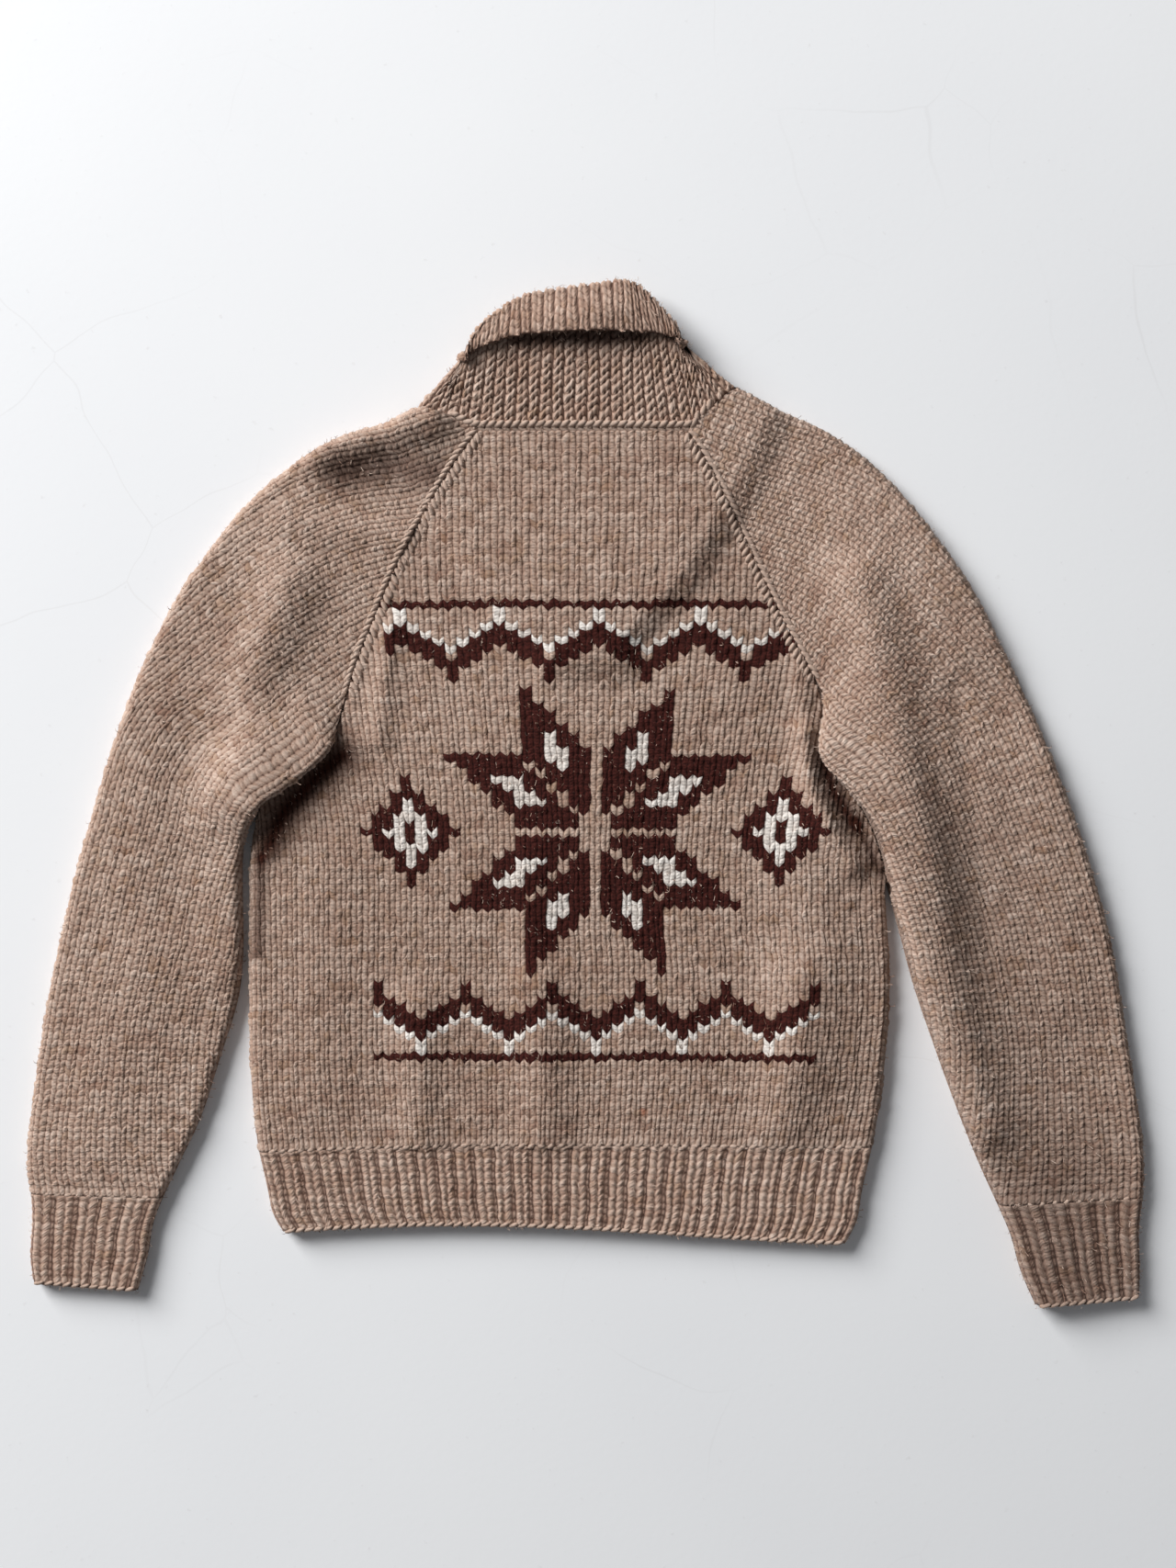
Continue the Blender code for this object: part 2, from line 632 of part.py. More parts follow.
def make_collar():
    """One band: up from the neck seam as a stand, over a roll and down as a fall."""
    outer = []
    inner = []
    stand_mid = FOLD - WALL / 2
    fall_mid = FOLD + COLLAR_GAP + WALL / 2
    roll_mid = (fall_mid - stand_mid) / 2
    for row, normal, ridge in collar_stations():
        seam = Vector((row[0], row[1], 0.0))
        roll = Vector((row[2], row[3], 0.0))
        edge = Vector((row[4], row[5], 0.0))
        rise = (roll - seam).normalized()
        seam = seam + rise * SEAM
        axis = Vector((0.0, 0.0, COLLAR_AXIS))
        swell = normal * (ridge * GARTER_RISE / 2)
        far = []
        near = []
        # The stand's outer side is the hollow of the roll, and the fall's outer side is its back.
        for share in STAND_SHARES:
            place = seam.lerp(roll, share) + axis
            visible = swell if share < PLAIN_STAND else Vector()
            far.append(place + normal * (FOLD - WALL))
            near.append(place + normal * FOLD + visible)
        for degrees in ROLL_ANGLES:
            angle = math.radians(degrees)
            centre = roll + axis + normal * (stand_mid + roll_mid)
            spoke = rise * math.sin(angle) - normal * math.cos(angle)
            far.append(centre + spoke * (roll_mid + WALL / 2) + swell * max(0.0, math.sin(angle)))
            near.append(centre + spoke * (roll_mid - WALL / 2))
        for share in FALL_SHARES:
            place = roll.lerp(edge, share) + axis
            far.append(place + normal * (FOLD + COLLAR_GAP + WALL) + swell)
            near.append(place + normal * (FOLD + COLLAR_GAP))
        outer.append(far)
        inner.append(near)
    thick_sheet("collar", outer, inner, wool("collar_wool", WOOL_RIB))


def make_zip():
    """Closed zip chain between the fronts, from hem to neck."""
    left_x, left_y, right_x, right_y, bow = metres(HEM[-1])
    share = (ZIP_X - left_x) / (right_x - left_x)
    rise = hem_bow(Vector((left_x, left_y)), Vector((right_x, right_y)), bow)(ZIP_X)
    bottom = mix(left_y, right_y, share) + rise + ZIP_SHORT
    length = NECK_POINT - bottom
    bpy.ops.mesh.primitive_cube_add(size=1.0)
    chain = bpy.context.object
    chain.name = "zip_chain"
    chain.data.name = "zip_chain"
    chain.location = (ZIP_X, bottom + length / 2, ZIP_BASE + ZIP_THICK / 2)
    chain.scale = (ZIP_WIDTH, length, ZIP_THICK)
    bpy.ops.object.transform_apply(location=False, rotation=False, scale=True)
    bevel = chain.modifiers.new("rounded edges", "BEVEL")
    bevel.width = ZIP_ROUNDING
    bevel.segments = 2
    for collection in list(chain.users_collection):
        collection.objects.unlink(chain)
    GARMENT.objects.link(chain)
    brass = wool("zip_brass", BRASS)
    shader = brass.node_tree.nodes["Principled BSDF"]
    shader.inputs["Metallic"].default_value = 1.0
    shader.inputs["Roughness"].default_value = 0.4
    chain.data.materials.append(brass)


for old in list(bpy.data.objects):
    bpy.data.objects.remove(old, do_unlink=True)
GARMENT = bpy.data.collections.new("cowichan_sweater")
bpy.context.scene.collection.children.link(GARMENT)

make_back()
make_front("front_left", -1)
make_front("front_right", 1)
make_hem()
make_sleeve("sleeve_left", LEFT_SLEEVE, 0, 2)
make_sleeve("sleeve_right", RIGHT_SLEEVE, 6, 4)
make_cuff("cuff_left", LEFT_CUFF)
make_cuff("cuff_right", RIGHT_CUFF)
make_collar()
make_zip()
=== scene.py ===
"""Heavy hand-knitted raglan sweater, laid flat with its back up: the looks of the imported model.

Metres, +Z up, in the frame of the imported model. Every panel is a thin closed shell of cloth on the
form of its solid. A fine grid follows the stitches of its outer side, and Geometry Nodes raise the
yarn from it. Chains of stitches then cover the seams and edges.
"""
import json
import math

import bmesh
import bpy
import numpy as np
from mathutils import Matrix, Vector

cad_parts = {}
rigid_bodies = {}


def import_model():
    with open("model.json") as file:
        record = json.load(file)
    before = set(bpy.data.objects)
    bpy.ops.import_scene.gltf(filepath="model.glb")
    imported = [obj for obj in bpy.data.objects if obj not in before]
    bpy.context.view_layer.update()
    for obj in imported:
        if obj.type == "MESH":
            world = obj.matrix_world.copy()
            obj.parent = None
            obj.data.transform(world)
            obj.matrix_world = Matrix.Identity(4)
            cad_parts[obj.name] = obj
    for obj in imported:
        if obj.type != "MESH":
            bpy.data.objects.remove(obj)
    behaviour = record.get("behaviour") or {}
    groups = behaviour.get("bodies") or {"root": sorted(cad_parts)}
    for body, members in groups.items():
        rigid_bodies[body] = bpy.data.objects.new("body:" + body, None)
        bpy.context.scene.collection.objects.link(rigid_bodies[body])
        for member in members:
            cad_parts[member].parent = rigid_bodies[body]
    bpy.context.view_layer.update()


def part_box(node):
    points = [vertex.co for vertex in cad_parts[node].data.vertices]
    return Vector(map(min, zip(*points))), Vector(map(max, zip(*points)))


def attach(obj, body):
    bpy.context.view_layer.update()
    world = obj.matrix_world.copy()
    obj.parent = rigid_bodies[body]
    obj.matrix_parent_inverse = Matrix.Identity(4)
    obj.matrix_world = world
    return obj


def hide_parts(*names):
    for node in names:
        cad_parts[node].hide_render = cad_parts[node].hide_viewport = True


bl_info = {
    "name": "Hand-knitted raglan sweater",
    "version": (1, 0, 0),
    "blender": (4, 5, 0),
    "location": "View3D > Sidebar > Sweater",
    "description": "Knits a heavy raglan sweater over its packed solids",
    "category": "Object",
}

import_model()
MM = 0.001

# Cloth, as in the solids
WALL = 5.5 * MM
LAID = 12.8 * MM            # back and front laid on each other
FOLD = LAID / 2             # outer radius of a side fold
PAIR_GAP = LAID - 2 * WALL
SEAM = 0.3 * MM
LEAST_AIR = 0.4 * MM        # between the laid layers
COLLAR_GAP = 0.4 * MM
COLLAR_AXIS = FOLD + COLLAR_GAP + WALL
ZIP_X = -1.5 * MM
ZIP_WIDTH = 5.0 * MM
ZIP_PITCH = 2.0 * MM
ZIP_TOOTH = 2.6 * MM        # width of a tooth
ZIP_ASIDE = 0.7 * MM        # how far it stands from the middle of the chain
NECK_POINT = 157.0          # mm, where the neck opening starts on the zip line
NECK_SHOULDER = 276.0       # mm, where it ends
NECK_REACH = 75.0           # mm, how far out from the zip line
HEM_RIBS = 32
CUFF_RIBS = 6
CUFF_EASE = 26              # courses over which a sleeve's wales widen above its cuff
RIB_EASE = 14               # courses over which the body's courses take the bow of the rib

# Lower sleeves, cuff to underarm, in mm: outer x, outer y, inner x, inner y
LEFT_SLEEVE = (
    (-422.5, -304.0, -322.0, -307.0),
    (-425.5, -278.2, -308.3, -278.2),
    (-422.4, -241.8, -292.9, -245.3),
    (-416.1, -196.3, -278.2, -199.8),
    (-408.4, -147.3, -265.2, -157.8),
    (-398.6, -103.2, -261.0, -122.8),
    (-388.8, -59.8, -261.2, -84.3),
    (-376.9, -17.8, -261.2, -49.3),
    (-363.6, 27.6, -257.8, -24.8),
)
RIGHT_SLEEVE = (
    (424.5, -307.0, 313.5, -312.0),
    (425.2, -273.3, 297.1, -275.4),
    (418.9, -224.3, 278.9, -229.2),
    (411.9, -182.3, 262.8, -184.3),
    (404.9, -138.2, 250.2, -147.2),
    (396.5, -96.4, 240.7, -112.2),
    (388.0, -66.0, 233.8, -86.0),
)
# Sections shared by sleeves and body, underarm to neck, in mm:
# left outer x, y, left seam x, y, right seam x, y, right outer x, y, front edge y
ARMHOLE = (
    (-348.9, 69.6, -247.4, -4.5, 227.9, -63.4, 379.5, -38.0, -40.0),
    (-340.5, 91.0, -233.0, 6.5, 224.3, -46.0, 371.0, -14.0, -26.0),
    (-331.4, 111.6, -220.8, 15.7, 215.9, -22.8, 357.3, 22.8, -8.0),
    (-307.6, 157.1, -196.0, 37.1, 200.9, 3.8, 340.9, 60.5, 18.0),
    (-293.6, 176.8, -186.1, 59.5, 181.8, 34.5, 318.9, 108.6, 46.0),
    (-267.1, 211.0, -175.3, 97.6, 177.6, 78.0, 287.0, 168.0, 86.0),
    (-236.2, 241.1, -162.0, 131.2, 152.8, 128.2, 235.3, 235.0, 127.0),
    (-194.2, 269.1, -143.8, 174.6, 130.5, 174.6, 187.2, 274.0, 157.0),
    (-151.5, 282.6, -120.0, 218.0, 110.2, 218.0, 145.5, 292.6, 205.0),
    (-135.5, 289.3, -96.9, 255.1, 90.6, 255.1, 123.7, 303.0, 248.0),
    (-129.2, 293.6, -81.5, 276.1, 77.3, 276.1, 115.8, 308.3, 276.0),
)
LEFT_OUTER, LEFT_SEAM, RIGHT_SEAM, RIGHT_OUTER = slice(0, 2), slice(2, 4), slice(4, 6), slice(6, 8)
PARALLEL_FROM = 8           # from this section of ARMHOLE on the sleeve's courses stay parallel
TIP_SECTIONS = 25           # sections of that stretch
TIP_SHARE = 0.995           # share of the way to the neck at which they end
# Sides of the body, rib to underarm, in mm: left x, y, right x, y, front edge y
BODY_SIDES = (
    (-248.9, -272.5, 218.2, -268.8, -270.5),
    (-253.4, -234.9, 224.0, -238.0, -236.0),
    (-255.9, -192.9, 227.9, -203.0, -198.0),
    (-256.4, -143.9, 231.0, -165.0, -154.0),
    (-256.2, -94.9, 231.3, -127.0, -110.0),
    (-255.4, -45.9, 229.0, -92.0, -68.0),
)
# Ribbed hem, top to bottom, in mm: left x, y, right x, y, bow of the middle
HEM = (
    (-248.9, -272.5, 218.2, -268.8, 6.0),
    (-243.0, -298.0, 210.8, -301.0, 9.0),
    (-238.5, -319.0, 206.6, -325.0, 11.0),
    (-230.5, -333.5, 197.5, -342.6, 13.0),
)
# Cuffs, top to bottom, in mm: outer x, outer y, inner x, inner y
LEFT_CUFF = (
    (-422.5, -304.0, -322.0, -307.0),
    (-421.8, -325.8, -329.5, -327.0),
    (-423.3, -350.3, -333.8, -352.0),
    (-421.0, -372.0, -341.2, -377.9),
)
RIGHT_CUFF = (
    (424.5, -307.0, 313.5, -312.0),
    (421.8, -332.8, 323.8, -336.3),
    (422.4, -357.3, 331.0, -362.2),
    (421.8, -383.5, 342.6, -389.1),
)
# Collar, in mm: seam x, y, roll x, y, fall edge x, y
COLLAR_BACK = (
    (-104.0, 284.3, -88.5, 341.5, -88.0, 332.5),
    (-81.5, 276.1, -72.5, 358.0, -74.5, 339.5),
    (-54.2, 276.1, -50.0, 372.0, -50.0, 346.4),
    (-26.2, 276.1, -23.4, 377.8, -24.1, 348.0),
    (1.8, 276.1, 3.1, 381.2, 5.2, 349.2),
    (29.7, 276.1, 29.4, 384.3, 31.5, 349.2),
    (54.9, 276.1, 45.0, 377.4, 50.1, 348.6),
    (77.3, 276.1, 60.5, 362.0, 63.0, 346.0),
    (94.1, 290.2, 71.0, 350.0, 71.5, 343.5),
)
COLLAR_LEFT_FOLD = (-91.5, 329.5, -91.0, 326.0)     # roll x, y, fall edge x, y
COLLAR_RIGHT_FOLD = (73.0, 338.0, 72.5, 335.0)
COLLAR_FRONT = (                                    # out from the zip line
    (0.0, 157.0, 0.0, 213.0, 0.0, 115.0),
    (27.1, 200.0, 21.0, 240.0, 46.0, 160.0),
    (52.3, 240.0, 43.0, 275.0, 77.0, 203.0),
    (71.2, 270.0, 59.0, 302.0, 96.0, 236.0),
    (75.0, 276.0, 66.0, 314.0, 104.0, 262.0),
)
# The laid layers rise over the front of the collar, in mm: y, half width of the raised stretch
LAPEL_REACH = ((60.0, 0.0), (115.0, 22.0), (160.0, 66.0), (203.0, 94.0), (236.0, 113.0),
               (262.0, 124.0), (290.0, 136.0), (420.0, 136.0))
LAPEL_START = 115.0 * MM
LAPEL_ROUND = 6.0 * MM      # how far under its start the raised stretch stays level
LAPEL_SLOPE = 30.0 * MM
FALL_LIFT = 8.3 * MM        # how far the fall stands off the stand at its middle
FALL_MIDDLE = -5.0 * MM
FALL_SPREAD = 50.0 * MM
TURN_IN = 6.0 * MM          # how far the band is drawn in where it turns round a shoulder
TURN_STATIONS = 9
COLLAR_STEPS = 10
# Ridges of the fall and round the shoulders stand up less, as shares of their height
FALL_EASE = 0.62
TURN_EASE = 0.4
FALL_VALLEY = 0.5
# Main folds, in mm: half width, height, then the points x, y that the fold runs through
SLEEVE_FOLDS = (
    (24.0, 8.0, -225.0, 160.0, -247.0, 101.0, -254.0, 52.0, -262.0, 0.0),
    (20.0, 3.0, -268.0, -60.0, -274.0, -130.0),
    (34.0, 2.6, -338.0, -130.0, -372.0, -260.0),
    (26.0, 2.0, -330.0, 60.0, -345.0, -60.0),
    (16.0, 9.5, -200.0, 257.0, -158.0, 272.0, -118.0, 284.0),
    (16.0, 2.6, -226.0, 206.0, -176.0, 200.0, -142.0, 196.0),
    (22.0, 9.0, 207.0, 160.0, 228.0, 80.0, 245.0, -20.0, 264.0, -130.0, 284.0, -200.0, 300.0, -250.0),
    (60.0, 6.0, 225.0, 120.0, 250.0, -20.0, 275.0, -130.0, 300.0, -230.0, 330.0, -350.0,
     332.0, -395.0),
    (26.0, 2.6, 345.0, 30.0, 366.0, -150.0),
    (30.0, 3.2, 205.0, 205.0, 250.0, 190.0, 292.0, 120.0),
    (9.0, -1.4, 282.0, 80.0, 292.0, -10.0, 306.0, -110.0),
)
BODY_FOLDS = (
    (26.0, 2.0, -196.0, -60.0, -206.0, -230.0),
    (9.0, 2.8, -148.0, 125.0, -158.0, 40.0),
    (16.0, 3.6, -128.0, -160.0, -128.0, -258.0),
    (20.0, 4.4, -33.0, -150.0, -33.0, -258.0),
    (22.0, 5.0, 159.0, -140.0, 150.0, -250.0),
    (14.0, 2.0, -44.0, -50.0, -44.0, -140.0),
    (9.0, 2.4, 163.0, 110.0, 166.0, 50.0),
    (32.0, 4.6, 168.0, -30.0, 180.0, -120.0, 176.0, -200.0),
    (9.0, 7.5, 166.0, 46.0, 170.0, 6.0, 184.0, -24.0, 204.0, -52.0),
    (80.0, 1.8, 0.0, 140.0, 0.0, -20.0),
    (26.0, 1.6, 70.0, 190.0, 118.0, 90.0),
)
EASE_FROM = 26.0 * MM       # folds are rounded off from this height
MOST_HEIGHT = 34.0 * MM
# The inner edges of the sleeves roll over the body at the underarms
ROLL_HEIGHT = 14.0 * MM
ROLL_EDGE = 9.0 * MM        # width over which the roll rises
ROLL_FADE = 55.0 * MM       # width over which it sinks again
ROLL_OVER = 12.0 * MM       # how far a rolled edge leans over its neighbour
ROLL_REACH = 30.0 * MM      # width that leans
# Height of the rolled edge from the underarm up, as shares of ROLL_HEIGHT
LEFT_ROLL = (1.0, 1.0, 1.0, 0.8, 0.08, 0.0, 0.0, 0.0, 0.0)
RIGHT_ROLL = (1.0, 1.0, 1.0, 1.0, 0.85, 0.06, 0.0, 0.0, 0.0)
# How far the rolled edge leans over the body, as shares of ROLL_OVER
LEFT_OVER = (0.9, 1.0, 1.0, 0.8, 0.2, 0.0, 0.0, 0.0, 0.0)
RIGHT_OVER = (0.0, 0.05, 0.2, 0.65, 1.0, 0.06, 0.0, 0.0, 0.0)
# What is left of height and lean in the sections below the underarm, downwards
LEFT_BELOW = (0.6, 0.2)
RIGHT_BELOW = (0.9, 0.65, 0.4, 0.15)
# How far the courses of a sleeve run ahead on its outer edge, in mm, from underarm to neck
OUTER_LEAD = (11.0, 13.0, 14.0, 14.0, 15.0, 17.0, 17.0, 9.0, 6.0)
LEAD_BELOW = 5.0            # the same at the last section of the lower sleeve
# How far the wales drift in from the outer edge, as section of ARMHOLE and drift per length
WALE_DRIFT = ((3, 0.3), (5, 0.2), (7, 0.1))

# Painted shade in the wool's colour, in deep folds, under the fall and where cloth turns from the light,
# in mm: half width, share, points x, y
BODY_PAINTED_SHADE = (
    (14.0, 1.0, -184.0, 30.0, -205.0, 12.0, -228.0, -12.0, -240.0, -38.0),
    (6.0, 0.7, -247.0, -50.0, -249.0, -120.0),
    (9.0, 1.0, 181.0, 24.0, 188.0, 2.0, 202.0, -20.0),
    (5.0, 0.8, 206.0, -24.0, 224.0, -60.0),
)
SLEEVE_PAINTED_SHADE = (
    (17.0, 0.68, -184.0, 245.0, -145.0, 249.0, -108.0, 241.0),
    (55.0, 0.20, 300.0, -40.0, 330.0, -180.0),
    (60.0, 0.44, 352.0, -300.0, 380.0, -390.0),
)
COLLAR_PAINTED_SHADE = ((7.0, 0.75, -52.0, 343.0, -10.0, 346.0, 40.0, 345.5),
                  (5.0, 0.7, 62.0, 347.0, 70.0, 342.5, 77.0, 335.0))
# Painted shade of the collar is painted only below this height
COLLAR_PAINTED_SHADE_TOP = 20.5 * MM    # the fall over it keeps its own colour

# Knitting: columns of one repeat of a pattern, as place in the repeat, height of the yarn,
# lean of the course in courses, leg, and height that is left between two stitches
STOCKINETTE = ((0.0, 0.16, 0.60, 0.0, 0.0), (0.25, 1.0, 0.30, 0.5, 0.78),
               (0.5, 0.18, 0.0, 1.0, 0.0), (0.75, 1.0, 0.30, 1.5, 0.78))
SLEEVE_KNIT = ((0.0, 0.32, 0.62, 0.0, 0.0), (0.25, 1.0, 0.31, 0.5, 0.68),
               (0.5, 0.36, 0.0, 1.0, 0.0), (0.75, 1.0, 0.31, 1.5, 0.68))
RIB = ((0.0, 0.30, 0.5, 2.5, 0.0), (0.09, 0.08, 0.3, 3.0, 0.0), (0.17, 0.58, 0.2, 3.2, 0.5),
       (0.29, 0.92, 0.25, 3.5, 0.5), (0.41, 0.64, 0.3, 3.8, 0.45), (0.51, 0.26, 0.0, 4.0, 0.1),
       (0.60, 0.60, 0.1, 4.2, 0.4), (0.70, 0.86, 0.3, 4.5, 0.42), (0.82, 0.56, 0.5, 4.8, 0.4),
       (0.91, 0.08, 0.4, 5.0, 0.0))
GARTER = ((0.0, 0.0, 0.3, 0.0, 0.0), (0.14, 0.72, -0.10, 0.25, 0.1), (0.34, 1.0, 0.06, 0.75, 0.1),
          (0.5, 0.58, 0.3, 1.0, 0.1), (0.66, 0.92, 0.54, 1.25, 0.1), (0.86, 0.50, 0.70, 1.75, 0.1))
LEGS = {STOCKINETTE: 2, SLEEVE_KNIT: 2, RIB: 3, GARTER: 2}
CELLS = 4                   # rows of faces in a course
COURSE_EDGE = 0.001         # in courses, so that a whole number isn't read as the course before
LEAN_FADE = 3.0 * MM        # the courses run square to a seam this close to it
EDGE_FADE = 1.2 * MM        # the yarn sinks into a seam
END_FADE = 2.0 * MM
EDGE_KNIT = 0.35            # share of the yarn's height that is left there
RELIEF_FROM = 1.0 * MM      # the yarn is raised from this height over the floor side
RELIEF_RUN = 4.0 * MM
JITTER_UP = 0.22            # in courses
JITTER_ASIDE = 0.75 * MM
COLLAR_ASIDE = 0.9 * MM
COURSE_UNEVEN = 0.10        # how much one course differs from the next
CHANCES = 64                # stitches after which their chance values repeat
PLAIN_LEVEL = 0.6           # height of the yarn in the finish of a side that doesn't show
JOIN_LEVEL = 0.72           # height of the yarn where a panel goes over into its rib
JOIN_VALLEY = 0.8
JOIN_LENGTH = 5.0 * MM
PLAIN_CELL = 16.0 * MM      # size of the faces of the hidden side
UNDER_LEG = 5.0 * MM        # width of a leg of the ribs underneath
EDGE_CALM = 12.0 * MM       # wales run straight this close to a panel's edge
TUBE_CALM = 14.0 * MM       # the same for a tube's outer fold
TUBE_CALM_FROM = 4.0 * MM   # and where that stretch starts, round the fold
# Slow wandering of wales and courses: length across, length up, turn, strength
WAVES = ((0.041, 0.093, 1.0, 1.0), (0.067, -0.038, 2.3, 1.0), (0.023, 0.031, 3.1, 0.5))
WAVE_TOTAL = 2.5
WAVER_UP = 0.9 * MM
WAVER_ASIDE = 1.1 * MM
HEM_WAVER = 0.8 * MM
CUFF_WAVER = 0.6            # as a share of WAVER_ASIDE

FUZZ_AT_EDGES = 3.0         # how much denser the loose fibres are on steep cloth
FUZZ_STEEP = 0.35           # steep is an upward part of the normal under this
FUZZ_ABOVE = 6.0 * MM
FUZZ_BELOW = 29.5 * MM      # higher fibres would leave the height of the solids
FUZZ_SCATTER = 0.8 * MM
FUZZ_ROOT = 0.4 * MM        # how deep a fibre starts in the yarn
FIBRE_SLIMNESS = 0.06       # width over length
FIBRE_CURL = 2.3

# Stitches on seams and edges: width, length and thickness in mm, lean in radians, and for chains
# the distance from one stitch to the next over their length
DECREASE_LOOPS = (8.0, 8.2, 4.4, 0.95, 0.66)
SLEEVE_ROPE = (7.2, 8.6, 4.2, 0.45, 0.66)
CAST_ON = (6.4, 8.4, 4.4, 0.35, 0.84)
NECK_CHAIN = (9.0, 9.0, 4.8, 0.5, 0.68)
JOIN_BUMP = (8.0, 6.0, 4.0, 0.2)
RAGLAN_STARTS = (("left", -1, 75 * MM), ("right", 1, 87 * MM))
LOOPS_ASIDE = 3.9 * MM      # from the raglan seam towards the middle of the back
ROPE_ASIDE = -2.3 * MM
RAGLAN_SUNK = 1.2 * MM      # how deep a chain lies in the cloth under it
CAST_ON_SUNK = 1.9 * MM
JOIN_SUNK = 1.7 * MM
CAST_ON_RISE = 1.4 * MM     # from the edge of the rib
UPWARD = (0.0, 0.0, 1.0)
DOWNWARD_LEAN = (0.0, -0.55, 0.83)
NECK_LEAN = (0.0, -0.5, 0.87)
NECK_RISE = 4.4 * MM
NECK_SEAM = ((-104.0, 287.2), (-93.0, 281.7), (-81.5, 278.3), (-30.0, 278.3),
             (20.0, 278.3), (77.3, 278.3), (86.0, 284.2), (97.0, 295.2))

QUARTER = math.pi / 2
BODY_MIDDLE = -12.5 * MM    # the wale in the middle of the back
BACK_WALES = 60
BACK_REPEATS = (-31, 31)    # wales that are laid out on both sides of the middle one
HEM_REPEATS = (-18, 18)     # the same for ribs
WALE_GROWTH = 0.19          # how much wider the wales are at the neck
GROWTH_FROM = -60.0 * MM
GROWTH_RUN = 260.0 * MM
RIB_SHIFT = 0.25            # in ribs
STRAIGHT_FROM = -100.0 * MM # below this height the wales draw in to the rib

# Knitted-in figures: their middle, as a wale and a course, then sizes in wales
CHART_WALE = 2.5
CHART_COURSE = 43.5
CHART_SQUARE = 0.65         # height of a stitch over its width
STAR_GAP = 0.45             # half of the gap between two petals
STAR_PETAL = 6.6
HEART_GAP = 2.3             # where the white heart of a petal starts
HEART_SHORT = 2.0           # how far it ends before the petal
DIAMOND_PLACE = 17.0
DIAMOND_SQUASH = 0.85
DIAMOND_RINGS = (4.2, 2.4, 1.0)
ZIGZAG_WAVE = 8.0
ZIGZAG_SLOPE = 0.75
ZIGZAG_LEVEL = 17.6
BAND_HALVES = (17.5, 20.5)  # half width of the upper and the lower band
BAND_LINE = 19.6            # the line outside each zigzag
BAND_END = 20.6
GROUND_YARN, DARK_YARN, WHITE_YARN = 0.0, 1.0, 2.0
RUST_SPOT = (0.044, -0.2415, 0.013)

# Stage
FLOOR_RADIUS = 9.0
CAMERA_PLACE = (1.75 * MM, 7.7 * MM)
LENS_MM = 50.0
SENSOR_MM = 36.0
KEY_PLACE = (-4.2, 3.5, 3.1)
KEY_SIZE = 3.6
KEY_COLOUR = (1.0, 0.99, 0.975)
ROOM_COLOUR = (0.97, 0.98, 1.0, 1.0)


def smooth(value):
    """0 up to 0, 1 from 1 on, and an even slope between."""
    value = np.clip(value, 0.0, 1.0)
    return value * value * (3 - 2 * value)


def mix(a, b, share):
    """Value at a share of the way from a to b."""
    return a + (b - a) * share


def read_table(table, at):
    """Second column of a two-column table in mm, read at a value of the first in metres."""
    rows = np.array(table) * MM
    return np.interp(at, rows[:, 0], rows[:, 1])


def curve_through(rows, steps=12):
    """Smooth curve through the rows of a table."""
    rows = np.array(rows, float)
    padded = np.vstack([rows[:1], rows, rows[-1:]])
    t = (np.arange(steps) / steps)[:, None]
    out = []
    for before, start, end, after in zip(padded, padded[1:], padded[2:], padded[3:]):
        leave, arrive = 0.5 * (end - before), 0.5 * (after - start)
        cubic = 2 * start - 2 * end + leave + arrive
        square = 3 * (end - start) - 2 * leave - arrive
        out.append(start + leave * t + square * t ** 2 + cubic * t ** 3)
    return np.vstack(out + [rows[-1:]])


def run_along(points):
    """Length along a line of points, from its first one."""
    return np.concatenate([[0.0], np.cumsum(np.linalg.norm(np.diff(points, axis=0), axis=1))])


def read_along(at, run, values):
    """Rows of values, given along a run, at other places of it."""
    return np.stack([np.interp(at, run, column) for column in np.asarray(values).T], axis=-1)


def lay(x, y):
    """Height of the surface that the laid layers rest on: the floor, or the collar's front."""
    out = np.abs(x - ZIP_X) - read_table(LAPEL_REACH, y)
    out = np.where(y < LAPEL_START, np.maximum(out, LAPEL_START - y - LAPEL_ROUND), out)
    return (WALL + COLLAR_GAP) * smooth(1 - out / LAPEL_SLOPE)


def fold_height(x, y, folds):
    """Height that a table of folds adds at places x and y."""
    total = np.zeros(np.broadcast(x, y).shape)
    for half_width, height, *line in folds:
        nearest = np.full(total.shape, np.inf)
        corners = np.reshape(line, (-1, 2))
        for (x0, y0), (x1, y1) in zip(corners, corners[1:]):
            along = np.array((x1 - x0, y1 - y0))
            px, py = x / MM - x0, y / MM - y0
            share = np.clip((px * along[0] + py * along[1]) / (along @ along), 0.0, 1.0)
            nearest = np.minimum(nearest, np.hypot(px - along[0] * share, py - along[1] * share))
        total += height * MM * np.exp(-(nearest / half_width) ** 2)
    return total


def waver(x, y, seed):
    """Slow wandering between about -1 and 1, for wales and courses that aren't ruled."""
    total = sum(np.sin(x / across + y / up + turn * 1.7 * seed) * strength
                for across, up, turn, strength in WAVES)
    return total / WAVE_TOTAL


def top_height(x, y, folds=BODY_FOLDS):
    """Height of the upper layer over the surface that the layers rest on."""
    return LAID + np.maximum(fold_height(x, y, folds), LEAST_AIR - PAIR_GAP)


def under_limit(height):
    """Rounds off heights near the most that the folds may reach."""
    room = MOST_HEIGHT - EASE_FROM
    eased = height - np.maximum(height - EASE_FROM, 0.0) ** 2 / (4 * room)
    return np.where(height < MOST_HEIGHT + room, eased, MOST_HEIGHT)


def quarter_length(folded):
    """Length of cloth in the last stretch before an edge: a quarter turn where it is folded."""
    return FOLD * mix(1.0, QUARTER, folded)


def layer_length(a, b, fold_a, fold_b):
    """Length of cloth from edge a to edge b of one laid layer."""
    width = np.linalg.norm(b - a, axis=-1)
    return quarter_length(fold_a) + np.maximum(width - 2 * FOLD, 0.0) + quarter_length(fold_b)


